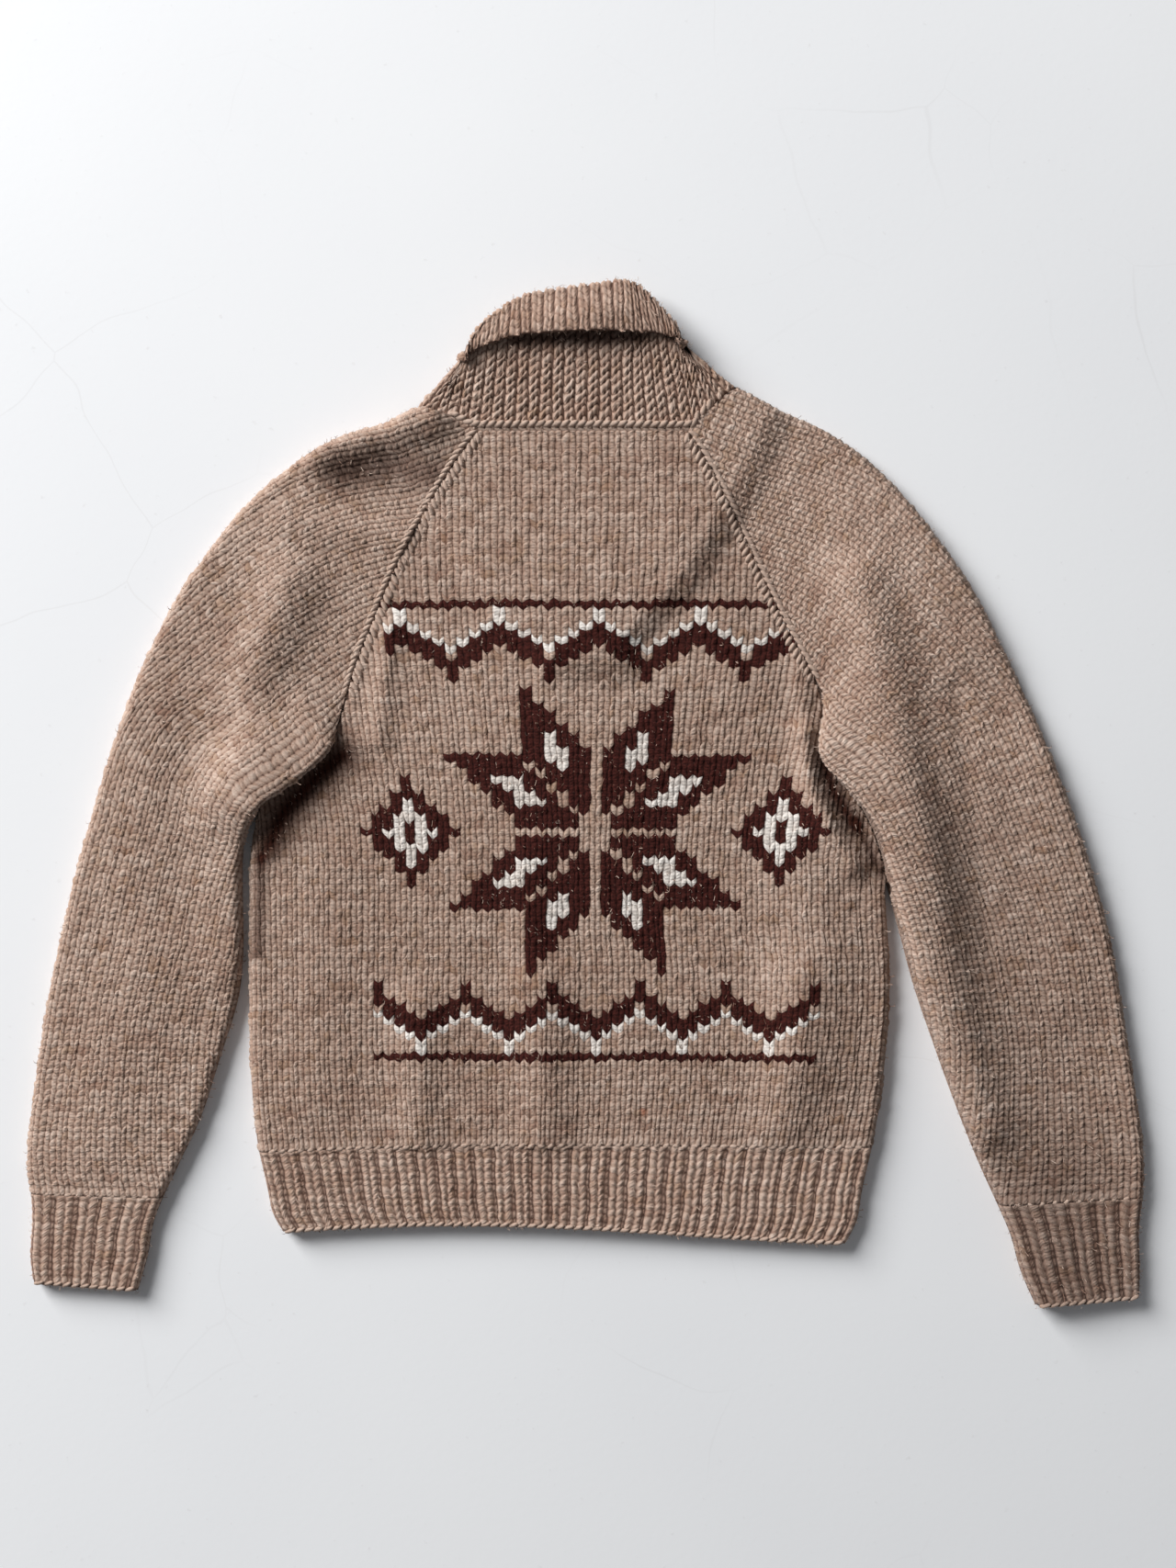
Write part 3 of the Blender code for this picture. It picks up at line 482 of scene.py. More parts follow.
def layer_point(a, b, fold_a, fold_b, along, upper=True, inside=False, roll=(0.0, 0.0),
                seam_b=True, folds=BODY_FOLDS):
    """Points of one laid layer of cloth between its edges a and b.

    along is the distance on the cloth from edge a. A folded edge turns down to half height.
    roll gives the shares of height and lean of the rolled edge a."""
    span = b - a
    width = np.linalg.norm(span, axis=-1)
    across = span / np.maximum(width, 1e-9)[..., None]
    length = layer_length(a, b, fold_a, fold_b)
    along = np.clip(along, 0.0, length)

    def bend(share, folded):
        angle = share * QUARTER
        round_offset = FOLD - (FOLD - WALL if inside else FOLD) * np.cos(angle)
        return mix(FOLD * share, round_offset, folded), mix(1.0, np.sin(angle), folded)

    share_a = np.clip(along / quarter_length(fold_a), 0.0, 1.0)
    share_b = np.clip((length - along) / quarter_length(fold_b), 0.0, 1.0)
    offset_a, lift_a = bend(share_a, fold_a)
    offset_b, lift_b = bend(share_b, fold_b)
    flat = np.clip(along - quarter_length(fold_a), 0.0, np.maximum(width - 2 * FOLD, 0.0))
    offset = np.minimum(offset_a + flat + FOLD - offset_b, width)
    place = a + across * offset[..., None]
    x, y = place[..., 0], place[..., 1]
    ground = lay(x, y)
    if upper:
        rise = np.clip(offset / ROLL_EDGE, 0.0, 1.0)
        extra = roll[0] * ROLL_HEIGHT * np.sqrt(1 - (1 - rise) ** 2)
        extra = extra * (1 - smooth((offset - ROLL_EDGE) / ROLL_FADE))
        height = under_limit(ground + top_height(x, y, folds) + extra)
        height = height - (WALL if inside else 0.0)
        over = roll[1] * ROLL_OVER * np.sin(math.pi * np.sqrt(np.clip(offset / ROLL_REACH, 0, 1)))
        x, y = x - across[..., 0] * over, y - across[..., 1] * over
    else:
        height = ground + (WALL if inside else 0.0)
    middle = ground + LAID / 2
    apart = (1 - lift_a) + ((1 - lift_b) if seam_b else 0.0)
    z = middle + (height - middle) * lift_a * lift_b + (1 if upper else -1) * SEAM / 2 * apart
    return np.stack([x, y, z], axis=-1)


# ---------------------------------------------------------------- cloth meshes

def pattern_columns(pattern, first, last):
    """Columns of a knitting pattern over its repeats: place, yarn, lean, leg and valley."""
    table = np.array([(repeat + place, yarn, lean, repeat * LEGS[pattern] + leg, valley)
                      for repeat in range(first, last)
                      for place, yarn, lean, leg, valley in pattern])
    return table.T


def uneven_marks(count, amount, seed):
    """Places of count + 1 marks that are nearly one apart."""
    steps = 1 + amount * np.random.default_rng(seed).uniform(-1, 1, count)
    return np.concatenate([[0.0], np.cumsum(steps)]) * count / steps.sum()


def stitch_chance(u, v, seed):
    """Random value between -1 and 1 for every stitch, smooth between neighbours."""
    table = np.random.default_rng(seed).uniform(-1, 1, (CHANCES, CHANCES))
    column, row = np.floor(u).astype(int), np.floor(v).astype(int)
    share_u, share_v = smooth(u - column), smooth(v - row)
    left, right = column % CHANCES, (column + 1) % CHANCES
    near, far = (mix(table[at % CHANCES, left], table[at % CHANCES, right], share_u)
                 for at in (row, row + 1))
    return mix(near, far, share_v)


def wandering(wales):
    """Wales in slightly uneven widths."""
    return wales + 0.045 * np.sin(2.39 * wales + 1.3) + 0.035 * np.sin(4.11 * wales + 0.4)


def reach_of(points):
    """How far the relief acts: all of it on top and none on the floor side."""
    height = points[..., 2] - lay(points[..., 0], points[..., 1])
    return smooth((height - RELIEF_FROM) / RELIEF_RUN)


def knit_surface(pattern, repeats, courses, row_height, width_at, limits_at, point_at, seed=1,
                 origin_at=None, shift=0.0, wales=1, ends=(END_FADE, END_FADE), joins=(0, 0)):
    """Grid of points on the outer side of a panel, laid out stitch by stitch.

    width_at gives the width of a repeat at each course, limits_at the first and last place across,
    origin_at the place of the first repeat, and point_at the point of the cloth at a distance
    across and a course. shift moves the pattern by part of a repeat, and wales is the number of
    wales in a repeat. ends are the lengths over which the yarn sinks at both ends, and joins those
    over which it evens out to go over into a neighbour."""
    place, yarn, lean, leg, valley = pattern_columns(pattern, *repeats)
    course = np.arange(courses * CELLS + 1) / CELLS
    rows, columns = np.meshgrid(course, place + shift, indexing="ij")
    columns = wandering(columns * wales) / wales

    def across_at(level):
        start = origin_at(level) if origin_at else 0.0
        return columns * width_at(level) + start

    low, high = limits_at(rows)
    edge = np.minimum(across_at(rows) - low, high - across_at(rows))
    calm = smooth(edge / LEAN_FADE) * smooth(np.minimum(rows, courses - rows))
    marks = uneven_marks(courses, COURSE_UNEVEN, seed)
    leaning = rows + (lean + JITTER_UP * stitch_chance(leg * np.ones_like(rows), rows, seed)) * calm
    uneven = np.interp(np.clip(leaning, 0, courses), np.arange(courses + 1), marks)
    low, high = limits_at(uneven)
    jitter = JITTER_ASIDE * stitch_chance(leg + 0.5 * rows, rows * 0.8, seed + 9) * calm
    points = point_at(np.clip(across_at(uneven) + jitter, low, high), uneven)
    knit = mix(EDGE_KNIT, 1.0, smooth(edge / EDGE_FADE))
    for fade, distance in zip(ends, (rows, courses - rows)):
        if fade:
            knit = knit * smooth(distance * row_height / fade)
    whole = np.ones_like(rows)
    crest, valley = yarn * whole, valley * whole
    for join, distance in zip(joins, (rows, courses - rows)):
        if join:
            even = 1 - smooth(distance * row_height / join)
            crest, valley = mix(crest, JOIN_LEVEL, even), mix(valley, JOIN_VALLEY, even)
    return {"points": points, "crest": crest, "valley": valley, "knit": knit,
            "reach": reach_of(points), "course": rows, "leg": leg * whole}


def plain_fields(points, course, leg):
    """A side that doesn't show: level, with the stitches in its finish alone."""
    whole = np.ones(points.shape[:-1])
    return {"points": points, "crest": PLAIN_LEVEL * whole, "valley": whole, "knit": whole,
            "reach": 0 * whole, "course": course * whole, "leg": leg * whole}


def plain_surface(across, course, width_at, legs, point_at):
    """Coarse grid for a side that doesn't show, over the same courses as the knitted one."""
    rows = course * np.ones(across.shape)
    return plain_fields(point_at(across, rows), rows, across / width_at(rows) * legs)


def spaced(low, high, cell=PLAIN_CELL):
    """Even places between two limits that change from row to row."""
    count = max(int(np.ceil(np.max(high - low) / cell)), 1)
    return low + (high - low) * np.linspace(0.0, 1.0, count + 1)[None, :]


class Sheet:
    """Points and faces of one closed piece of cloth, with what the yarn needs at each point."""

    FIELDS = ("crest", "valley", "knit", "reach", "course", "leg")

    # painted_shades lists where shade is painted into the wool's colour, painted_shade_below the height
    # under which it is painted
    def __init__(self, painted_shades=(), painted_shade_below=1.0):
        self.painted_shades = painted_shades
        self.painted_shade_below = painted_shade_below
        self.points = np.zeros((0, 3))
        self.fields = {name: np.zeros(0) for name in self.FIELDS}
        self.faces = []
        self.yarn = []
        self.rims = []

    def add(self, surface):
        """Adds the points of a grid and returns their numbers in its rows and columns."""
        numbers = np.arange(surface["crest"].size).reshape(surface["crest"].shape) + len(self.points)
        self.points = np.vstack([self.points, surface["points"].reshape(-1, 3)])
        for name in self.FIELDS:
            self.fields[name] = np.concatenate([self.fields[name], surface[name].ravel()])
        return numbers

    def skin(self, numbers, turned=False, yarn=None):
        """Faces over a grid of points, with the yarn of each where it isn't the ground's."""
        corners = [numbers[:-1, :-1], numbers[:-1, 1:], numbers[1:, 1:], numbers[1:, :-1]]
        if turned:
            corners.reverse()
        self.faces.extend(np.stack(corners, axis=-1).reshape(-1, 4).tolist())
        count = (numbers.shape[0] - 1) * (numbers.shape[1] - 1)
        self.yarn.extend([GROUND_YARN] * count if yarn is None else yarn.ravel().tolist())
        self.rims.extend([0.0] * count)

    def rim(self, near, far):
        """Closes the gap between two lines of points, which may have different counts."""
        near, far = list(near), list(far)
        if len(near) == len(far):
            fresh = [(a, b, d, c) for a, b, c, d in zip(near, near[1:], far, far[1:])]
        else:
            fresh = []
            run_near, run_far = (run_along(self.points[line]) for line in (near, far))
            run_near, run_far = run_near / run_near[-1], run_far / run_far[-1]
            i, k = 0, 0
            while i < len(near) - 1 or k < len(far) - 1:
                more_near = i < len(near) - 1
                if more_near and (k == len(far) - 1 or run_near[i + 1] <= run_far[k + 1]):
                    fresh.append((near[i], near[i + 1], far[k]))
                    i += 1
                else:
                    fresh.append((near[i], far[k + 1], far[k]))
                    k += 1
        self.faces.extend(fresh)
        self.yarn.extend([GROUND_YARN] * len(fresh))
        self.rims.extend([1.0] * len(fresh))

    def close(self, outer, inner):
        """Rims on all four sides between an outer and an inner grid."""
        self.rim(outer[:, 0], inner[:, 0])
        self.rim(outer[::-1, -1], inner[::-1, -1])
        self.rim(outer[0, ::-1], inner[0, ::-1])
        self.rim(outer[-1], inner[-1])

    def outward(self):
        """Normals at the points from the sides of the cloth alone, without its rims."""
        places = np.round(self.points / (0.02 * MM)).astype(np.int64)
        same = np.unique(places, axis=0, return_inverse=True)[1].ravel()
        sides = np.array([face for face, rim in zip(self.faces, self.rims) if not rim])
        corners = self.points[sides]
        normals = np.cross(corners[:, 2] - corners[:, 0], corners[:, 3] - corners[:, 1])
        total = np.zeros((same.max() + 1, 3))
        for corner in range(4):
            np.add.at(total, same[sides[:, corner]], normals)
        return (total / np.maximum(np.linalg.norm(total, axis=1), 1e-12)[:, None])[same]

    def mesh(self, name, turned=False):
        """Mesh with the points merged where the grid was drawn together at a seam."""
        mesh = bpy.data.meshes.new(name)
        mesh.from_pydata(self.points.tolist(), [], self.faces)
        stitch = mesh.uv_layers.new(name="stitch")
        corner_points = np.zeros(len(mesh.loops), np.int32)
        mesh.loops.foreach_get("vertex_index", corner_points)
        uv = np.stack([self.fields["leg"], self.fields["course"]], axis=-1)[corner_points]
        stitch.data.foreach_set("uv", uv.astype(np.float32).ravel())
        # Painted shade: the hollow attribute darkens the wool's colour where painted_shades lists
        hollow = fold_height(self.points[:, 0], self.points[:, 1], self.painted_shades) / MM
        hollow = np.clip(hollow, 0.0, 1.0) * (self.points[:, 2] < self.painted_shade_below)
        for field, values in (*self.fields.items(), ("hollow", hollow)):
            layer = mesh.attributes.new(field, "FLOAT", "POINT")
            layer.data.foreach_set("value", values.astype(np.float32))
        for field, values in (("yarn", self.yarn), ("rim", self.rims)):
            layer = mesh.attributes.new(field, "FLOAT", "FACE")
            layer.data.foreach_set("value", np.array(values, np.float32))
        layer = mesh.attributes.new("outward", "FLOAT_VECTOR", "POINT")
        outward = self.outward() * (-1 if turned else 1)
        layer.data.foreach_set("vector", outward.astype(np.float32).ravel())
        work = bmesh.new()
        work.from_mesh(mesh)
        bmesh.ops.remove_doubles(work, verts=work.verts, dist=0.01 * MM)
        if turned:
            bmesh.ops.reverse_faces(work, faces=work.faces)
        work.to_mesh(mesh)
        work.free()
        return mesh


# ---------------------------------------------------------------- node helpers

class Wire:
    """An output socket that takes part in sums, each of which adds a Math node."""

    def __init__(self, bench, socket):
        self.bench = bench
        self.socket = socket

    def __add__(self, other):
        return self.bench.maths("ADD", self, other)

    def __sub__(self, other):
        return self.bench.maths("SUBTRACT", self, other)

    def __mul__(self, other):
        return self.bench.maths("MULTIPLY", self, other)

    def __pow__(self, other):
        return self.bench.maths("POWER", self, other)

    def __rsub__(self, other):
        return self.bench.maths("SUBTRACT", other, self)

    __radd__ = __add__
    __rmul__ = __mul__


class Bench:
    """Adds nodes to one tree."""

    def __init__(self, tree):
        self.tree = tree

    def node(self, kind, settings=None, sockets=None):
        """Adds a node with its properties, and its sockets by name or number."""
        made = self.tree.nodes.new(kind)
        for name, value in (settings or {}).items():
            if name == "stops":
                self.set_stops(made.color_ramp, value)
            else:
                setattr(made, name, value)
        self.fit(made, sockets or {})
        return made

    def fit(self, node, sockets):
        """Sets or links the sockets of a node."""
        for key, value in sockets.items():
            if isinstance(value, Wire):
                self.tree.links.new(value.socket, node.inputs[key])
            else:
                node.inputs[key].default_value = value

    def set_stops(self, ramp, stops):
        """Places and colours of a colour ramp."""
        while len(ramp.elements) < len(stops):
            ramp.elements.new(1.0)
        for element, (place, colour) in zip(ramp.elements, stops):
            element.position = place
            element.color = colour

    def out(self, kind, settings=None, sockets=None, output=0):
        """Adds a node and returns one of its outputs."""
        return Wire(self, self.node(kind, settings, sockets).outputs[output])

    def maths(self, operation, *values):
        """Adds a Math node."""
        return self.out("ShaderNodeMath", {"operation": operation}, dict(enumerate(values)))

    def fract(self, value):
        return self.maths("FRACT", value)

    def floor(self, value):
        return self.maths("FLOOR", value)

    def sine(self, value):
        return self.maths("SINE", value)

    def clamp(self, value):
        return self.out("ShaderNodeClamp", None, {"Value": value})

    def step(self, value, low, high):
        """0 below low, 1 above high and smooth between."""
        return self.out("ShaderNodeMapRange", {"interpolation_type": "SMOOTHSTEP"},
                        {"Value": value, "From Min": low, "From Max": high})

    def blend(self, share, a, b, kind="MIX"):
        """Mixes two colours."""
        return self.out("ShaderNodeMix", {"data_type": "RGBA", "blend_type": kind},
                        {0: share, 6: a, 7: b}, 2)

    def vector(self, x, y, z=0.0):
        return self.out("ShaderNodeCombineXYZ", None, {0: x, 1: y, 2: z})

    def parts(self, vector):
        """X, Y and Z of a vector."""
        split = self.node("ShaderNodeSeparateXYZ", None, {0: vector})
        return [Wire(self, socket) for socket in split.outputs]

    def scaled(self, vector, factor):
        """Vector times a factor."""
        return self.out("ShaderNodeVectorMath", {"operation": "SCALE"}, {0: vector, "Scale": factor})

    def noise(self, vector, scale, detail=2.0, roughness=0.5, output=0):
        return self.out("ShaderNodeTexNoise", None, {"Vector": vector, "Scale": scale, "Detail": detail,
                                                     "Roughness": roughness}, output)

    def place(self):
        """Place on the object, for the patterns of a finish."""
        return self.out("ShaderNodeTexCoord", output="Object")

    def field(self, name, kind="FLOAT"):
        """Named attribute in a Geometry Nodes tree."""
        return self.out("GeometryNodeInputNamedAttribute", {"data_type": kind}, {"Name": name})

    def keep(self, geometry, name, value, domain="POINT", kind="FLOAT"):
        """Stores a named attribute."""
        return self.out("GeometryNodeStoreNamedAttribute", {"data_type": kind, "domain": domain},
                        {"Geometry": geometry, "Name": name, "Value": value})

    def chance(self, low, high, sockets):
        """Random value between two limits; sockets gives its seed and what it differs by."""
        return self.out("FunctionNodeRandomValue", {"data_type": "FLOAT"},
                        {2: low, 3: high, **sockets}, 1)

    def turned(self, rotation, axis, angle):
        """Rotation with a further turn about one of its own axes."""
        turn = self.out("FunctionNodeAxisAngleToRotation", None, {"Axis": axis, "Angle": angle})
        return self.out("FunctionNodeRotateRotation", {"rotation_space": "LOCAL"},
                        {0: rotation, 1: turn})

    def realized(self, geometry):
        """Turns instances into plain geometry."""
        return self.out("GeometryNodeRealizeInstances", None, {"Geometry": geometry})

    def deliver(self, geometry, material):
        """Ends a Geometry Nodes tree with its material."""
        done = self.out("GeometryNodeSetMaterial", None, {"Geometry": geometry, "Material": material})
        self.node("NodeGroupOutput", None, {"Geometry": done})


def colour(red, green, blue):
    """Colour of a Blender socket from its 0 to 255 screen values."""
    def linear(value):
        value /= 255
        return value / 12.92 if value <= 0.04045 else ((value + 0.055) / 1.055) ** 2.4
    return (linear(red), linear(green), linear(blue), 1.0)


def new_geometry_tree(name, inputs):
    """Empty Geometry Nodes tree with the named inputs, each given as name, socket type and default."""
    tree = bpy.data.node_groups.new(name, "GeometryNodeTree")
    tree.interface.new_socket("Geometry", in_out="INPUT", socket_type="NodeSocketGeometry")
    tree.interface.new_socket("Geometry", in_out="OUTPUT", socket_type="NodeSocketGeometry")
    for label, kind, default in inputs:
        socket = tree.interface.new_socket(label, in_out="INPUT", socket_type="NodeSocket" + kind)
        if default is not None:
            socket.default_value = default
    bench = Bench(tree)
    entry = bench.node("NodeGroupInput")
    return tree, bench, {socket.name: Wire(bench, socket) for socket in entry.outputs if socket.name}


def run_tree(name, mesh, tree, values):
    """Evaluates a Geometry Nodes tree on a mesh and returns the plain object that it makes."""
    source = bpy.data.objects.new(name + "_source", mesh)
    bpy.context.scene.collection.objects.link(source)
    modifier = source.modifiers.new("nodes", "NODES")
    modifier.node_group = tree
    for item in tree.interface.items_tree:
        if item.in_out == "INPUT" and item.name in values:
            modifier[item.identifier] = values[item.name]
    depsgraph = bpy.context.evaluated_depsgraph_get()
    made = bpy.data.meshes.new_from_object(source.evaluated_get(depsgraph),
                                           preserve_all_data_layers=True, depsgraph=depsgraph)
    made.name = name
    bpy.data.objects.remove(source)
    piece = bpy.data.objects.new(name, made)
    bpy.context.scene.collection.objects.link(piece)
    return piece


def relief_tree():
    """Raises the yarn of each stitch from the grid that is laid out for it."""
    tree, bench, given = new_geometry_tree("knitted relief", (
        ("Yarn Height", "Float", 2.2 * MM),
        ("Sink", "Float", 1.3 * MM),
        ("Unevenness", "Float", 0.16),
        ("Seed", "Int", 7),
        ("Material", "Material", None),
    ))

    course = bench.field("course")
    phase = bench.fract(course + COURSE_EDGE)
    valley = bench.field("valley")
    grain = valley + (1.0 - valley) * bench.sine(phase * math.pi) ** 0.7
    stitch = bench.floor(bench.field("leg") + 0.26) * 977.0 + bench.floor(course + COURSE_EDGE)
    chance = bench.chance(-1.0, 1.0, {"ID": stitch, "Seed": given["Seed"]})
    height = bench.field("crest") * grain * (1.0 + given["Unevenness"] * chance)
    height = height * bench.field("knit")
    lift = (height * given["Yarn Height"] - given["Sink"]) * bench.field("reach")
    offset = bench.scaled(bench.field("outward", "FLOAT_VECTOR"), lift)
    # loft is the yarn's height; the finish paints shade where it is low
    kept = bench.keep(given["Geometry"], "loft", height)
    moved = bench.out("GeometryNodeSetPosition", None, {"Geometry": kept, "Offset": offset})
    shaded = bench.out("GeometryNodeSetShadeSmooth", None,
                       {"Geometry": moved, "Selection": 1.0 - bench.field("rim")})
    bench.deliver(bench.realized(shaded), given["Material"])
    return tree


def chain_tree():
    """Sets two plump grains of yarn on each point, like the legs of one stitch."""
    tree, bench, given = new_geometry_tree("chain of stitches", (
        ("Width", "Float", 8.0 * MM),
        ("Length", "Float", 8.0 * MM),
        ("Thickness", "Float", 4.2 * MM),
        ("Lean", "Float", 0.45),
        ("Unevenness", "Float", 0.12),
        ("Single", "Bool", False),
        ("Spread", "Float", 0.25),
        ("Seed", "Int", 3),
        ("Material", "Material", None),
    ))

    grain = bench.node("GeometryNodeMeshUVSphere", None, {"Segments": 8, "Rings": 6, "Radius": 0.5})
    mesh, uv_map = (Wire(bench, grain.outputs[name]) for name in ("Mesh", "UV Map"))
    mapped = bench.keep(mesh, "stitch", uv_map, "CORNER", "FLOAT2")
    outward = bench.parts(bench.out("GeometryNodeInputPosition"))[0]
    # loft falls on a grain's sides, where the finish paints shade
    round_top = 0.45 + 0.55 * bench.sine(bench.maths("MAXIMUM", outward * 2.0, 0.0) * QUARTER)
    lofted = bench.keep(mapped, "loft", round_top)
    size = bench.vector(given["Thickness"], given["Width"] * 0.56, given["Length"] * 1.15)
    sides = []
    for side in (-1.0, 1.0):
        # The sphere's poles lie along the chain, and its X side faces out of the cloth.
        chance = bench.chance(-1.0, 1.0, {"Seed": given["Seed"]})
        along = bench.out("FunctionNodeAxesToRotation", {"primary_axis": "X", "secondary_axis": "Z"},
                          {0: bench.field("up", "FLOAT_VECTOR"), 1: bench.field("along", "FLOAT_VECTOR")})
        lean = (given["Lean"] + given["Unevenness"] * chance) * -side
        shift = bench.scaled(bench.field("aside", "FLOAT_VECTOR"),
                             given["Width"] * given["Spread"] * side)
        moved = bench.out("GeometryNodeSetPosition", None,
                          {"Geometry": given["Geometry"], "Offset": shift})
        sides.append(bench.out("GeometryNodeInstanceOnPoints", None, {
            "Points": moved, "Instance": lofted, "Scale": size,
            "Rotation": bench.turned(along, (1.0, 0.0, 0.0), lean)}))
    sides[1] = bench.out("GeometryNodeSwitch", {"input_type": "GEOMETRY"},
                         {"Switch": given["Single"], "False": sides[1]})
    joined = bench.node("GeometryNodeJoinGeometry")
    for side in sides:
        tree.links.new(side.socket, joined.inputs[0])
    real = bench.realized(Wire(bench, joined.outputs[0]))
    bench.deliver(bench.out("GeometryNodeSetShadeSmooth", None, {"Geometry": real}),
                  given["Material"])
    return tree


def zip_tree():
    """A small block of metal on each point."""
    tree, bench, given = new_geometry_tree("zip teeth", (
        ("Width", "Float", 2.6 * MM),
        ("Length", "Float", 1.6 * MM),
        ("Height", "Float", 2.0 * MM),
        ("Material", "Material", None),
    ))
    size = bench.vector(given["Width"], given["Length"], given["Height"])
    tooth = bench.out("GeometryNodeMeshCube", None, {"Size": size})
    placed = bench.out("GeometryNodeInstanceOnPoints", None,
                       {"Points": given["Geometry"], "Instance": tooth})
    bench.deliver(bench.realized(placed), given["Material"])
    return tree


def fuzz_tree():
    """A short curled fibre on each point, as a thin ribbon."""
    tree, bench, given = new_geometry_tree("loose fibres", (
        ("Length", "Float", 5.0 * MM),
        ("Slimness", "Float", FIBRE_SLIMNESS),
        ("Curl", "Float", FIBRE_CURL),
        ("Seed", "Int", 5),
        ("Material", "Material", None),
    ))
    grid = bench.out("GeometryNodeMeshGrid", None,
                     {"Size X": 1.0, "Size Y": given["Slimness"], "Vertices X": 4, "Vertices Y": 2})
    length, aside, _ = bench.parts(bench.out("GeometryNodeInputPosition"))
    along = length + 0.5
    bent = bench.vector(bench.sine(along * given["Curl"]) * 0.7, aside + along * along * 0.25,
                        (1.0 - bench.maths("COSINE", along * given["Curl"])) * 0.22 + along * 0.12)
    fibre = bench.out("GeometryNodeSetPosition", None, {"Geometry": grid, "Position": bent})
    upright = bench.out("FunctionNodeAlignRotationToVector", {"axis": "Z"},
                        {"Vector": bench.field("up", "FLOAT_VECTOR")})
    spin = bench.chance(0.0, math.tau, {"Seed": given["Seed"]})
    size = bench.chance(0.5, 1.3, {"Seed": given["Seed"]}) * given["Length"]
    placed = bench.out("GeometryNodeInstanceOnPoints", None, {
        "Points": given["Geometry"], "Instance": fibre, "Scale": bench.vector(size, size, size),
        "Rotation": bench.turned(upright, (0.0, 0.0, 1.0), spin)})
    bench.deliver(bench.realized(placed), given["Material"])
    return tree


# ---------------------------------------------------------------- finishes

def new_finish(name):
    """New material with its bench and its shader."""
    material = bpy.data.materials.new(name)
    material.use_nodes = True
    bench = Bench(material.node_tree)
    return material, bench, material.node_tree.nodes["Principled BSDF"]


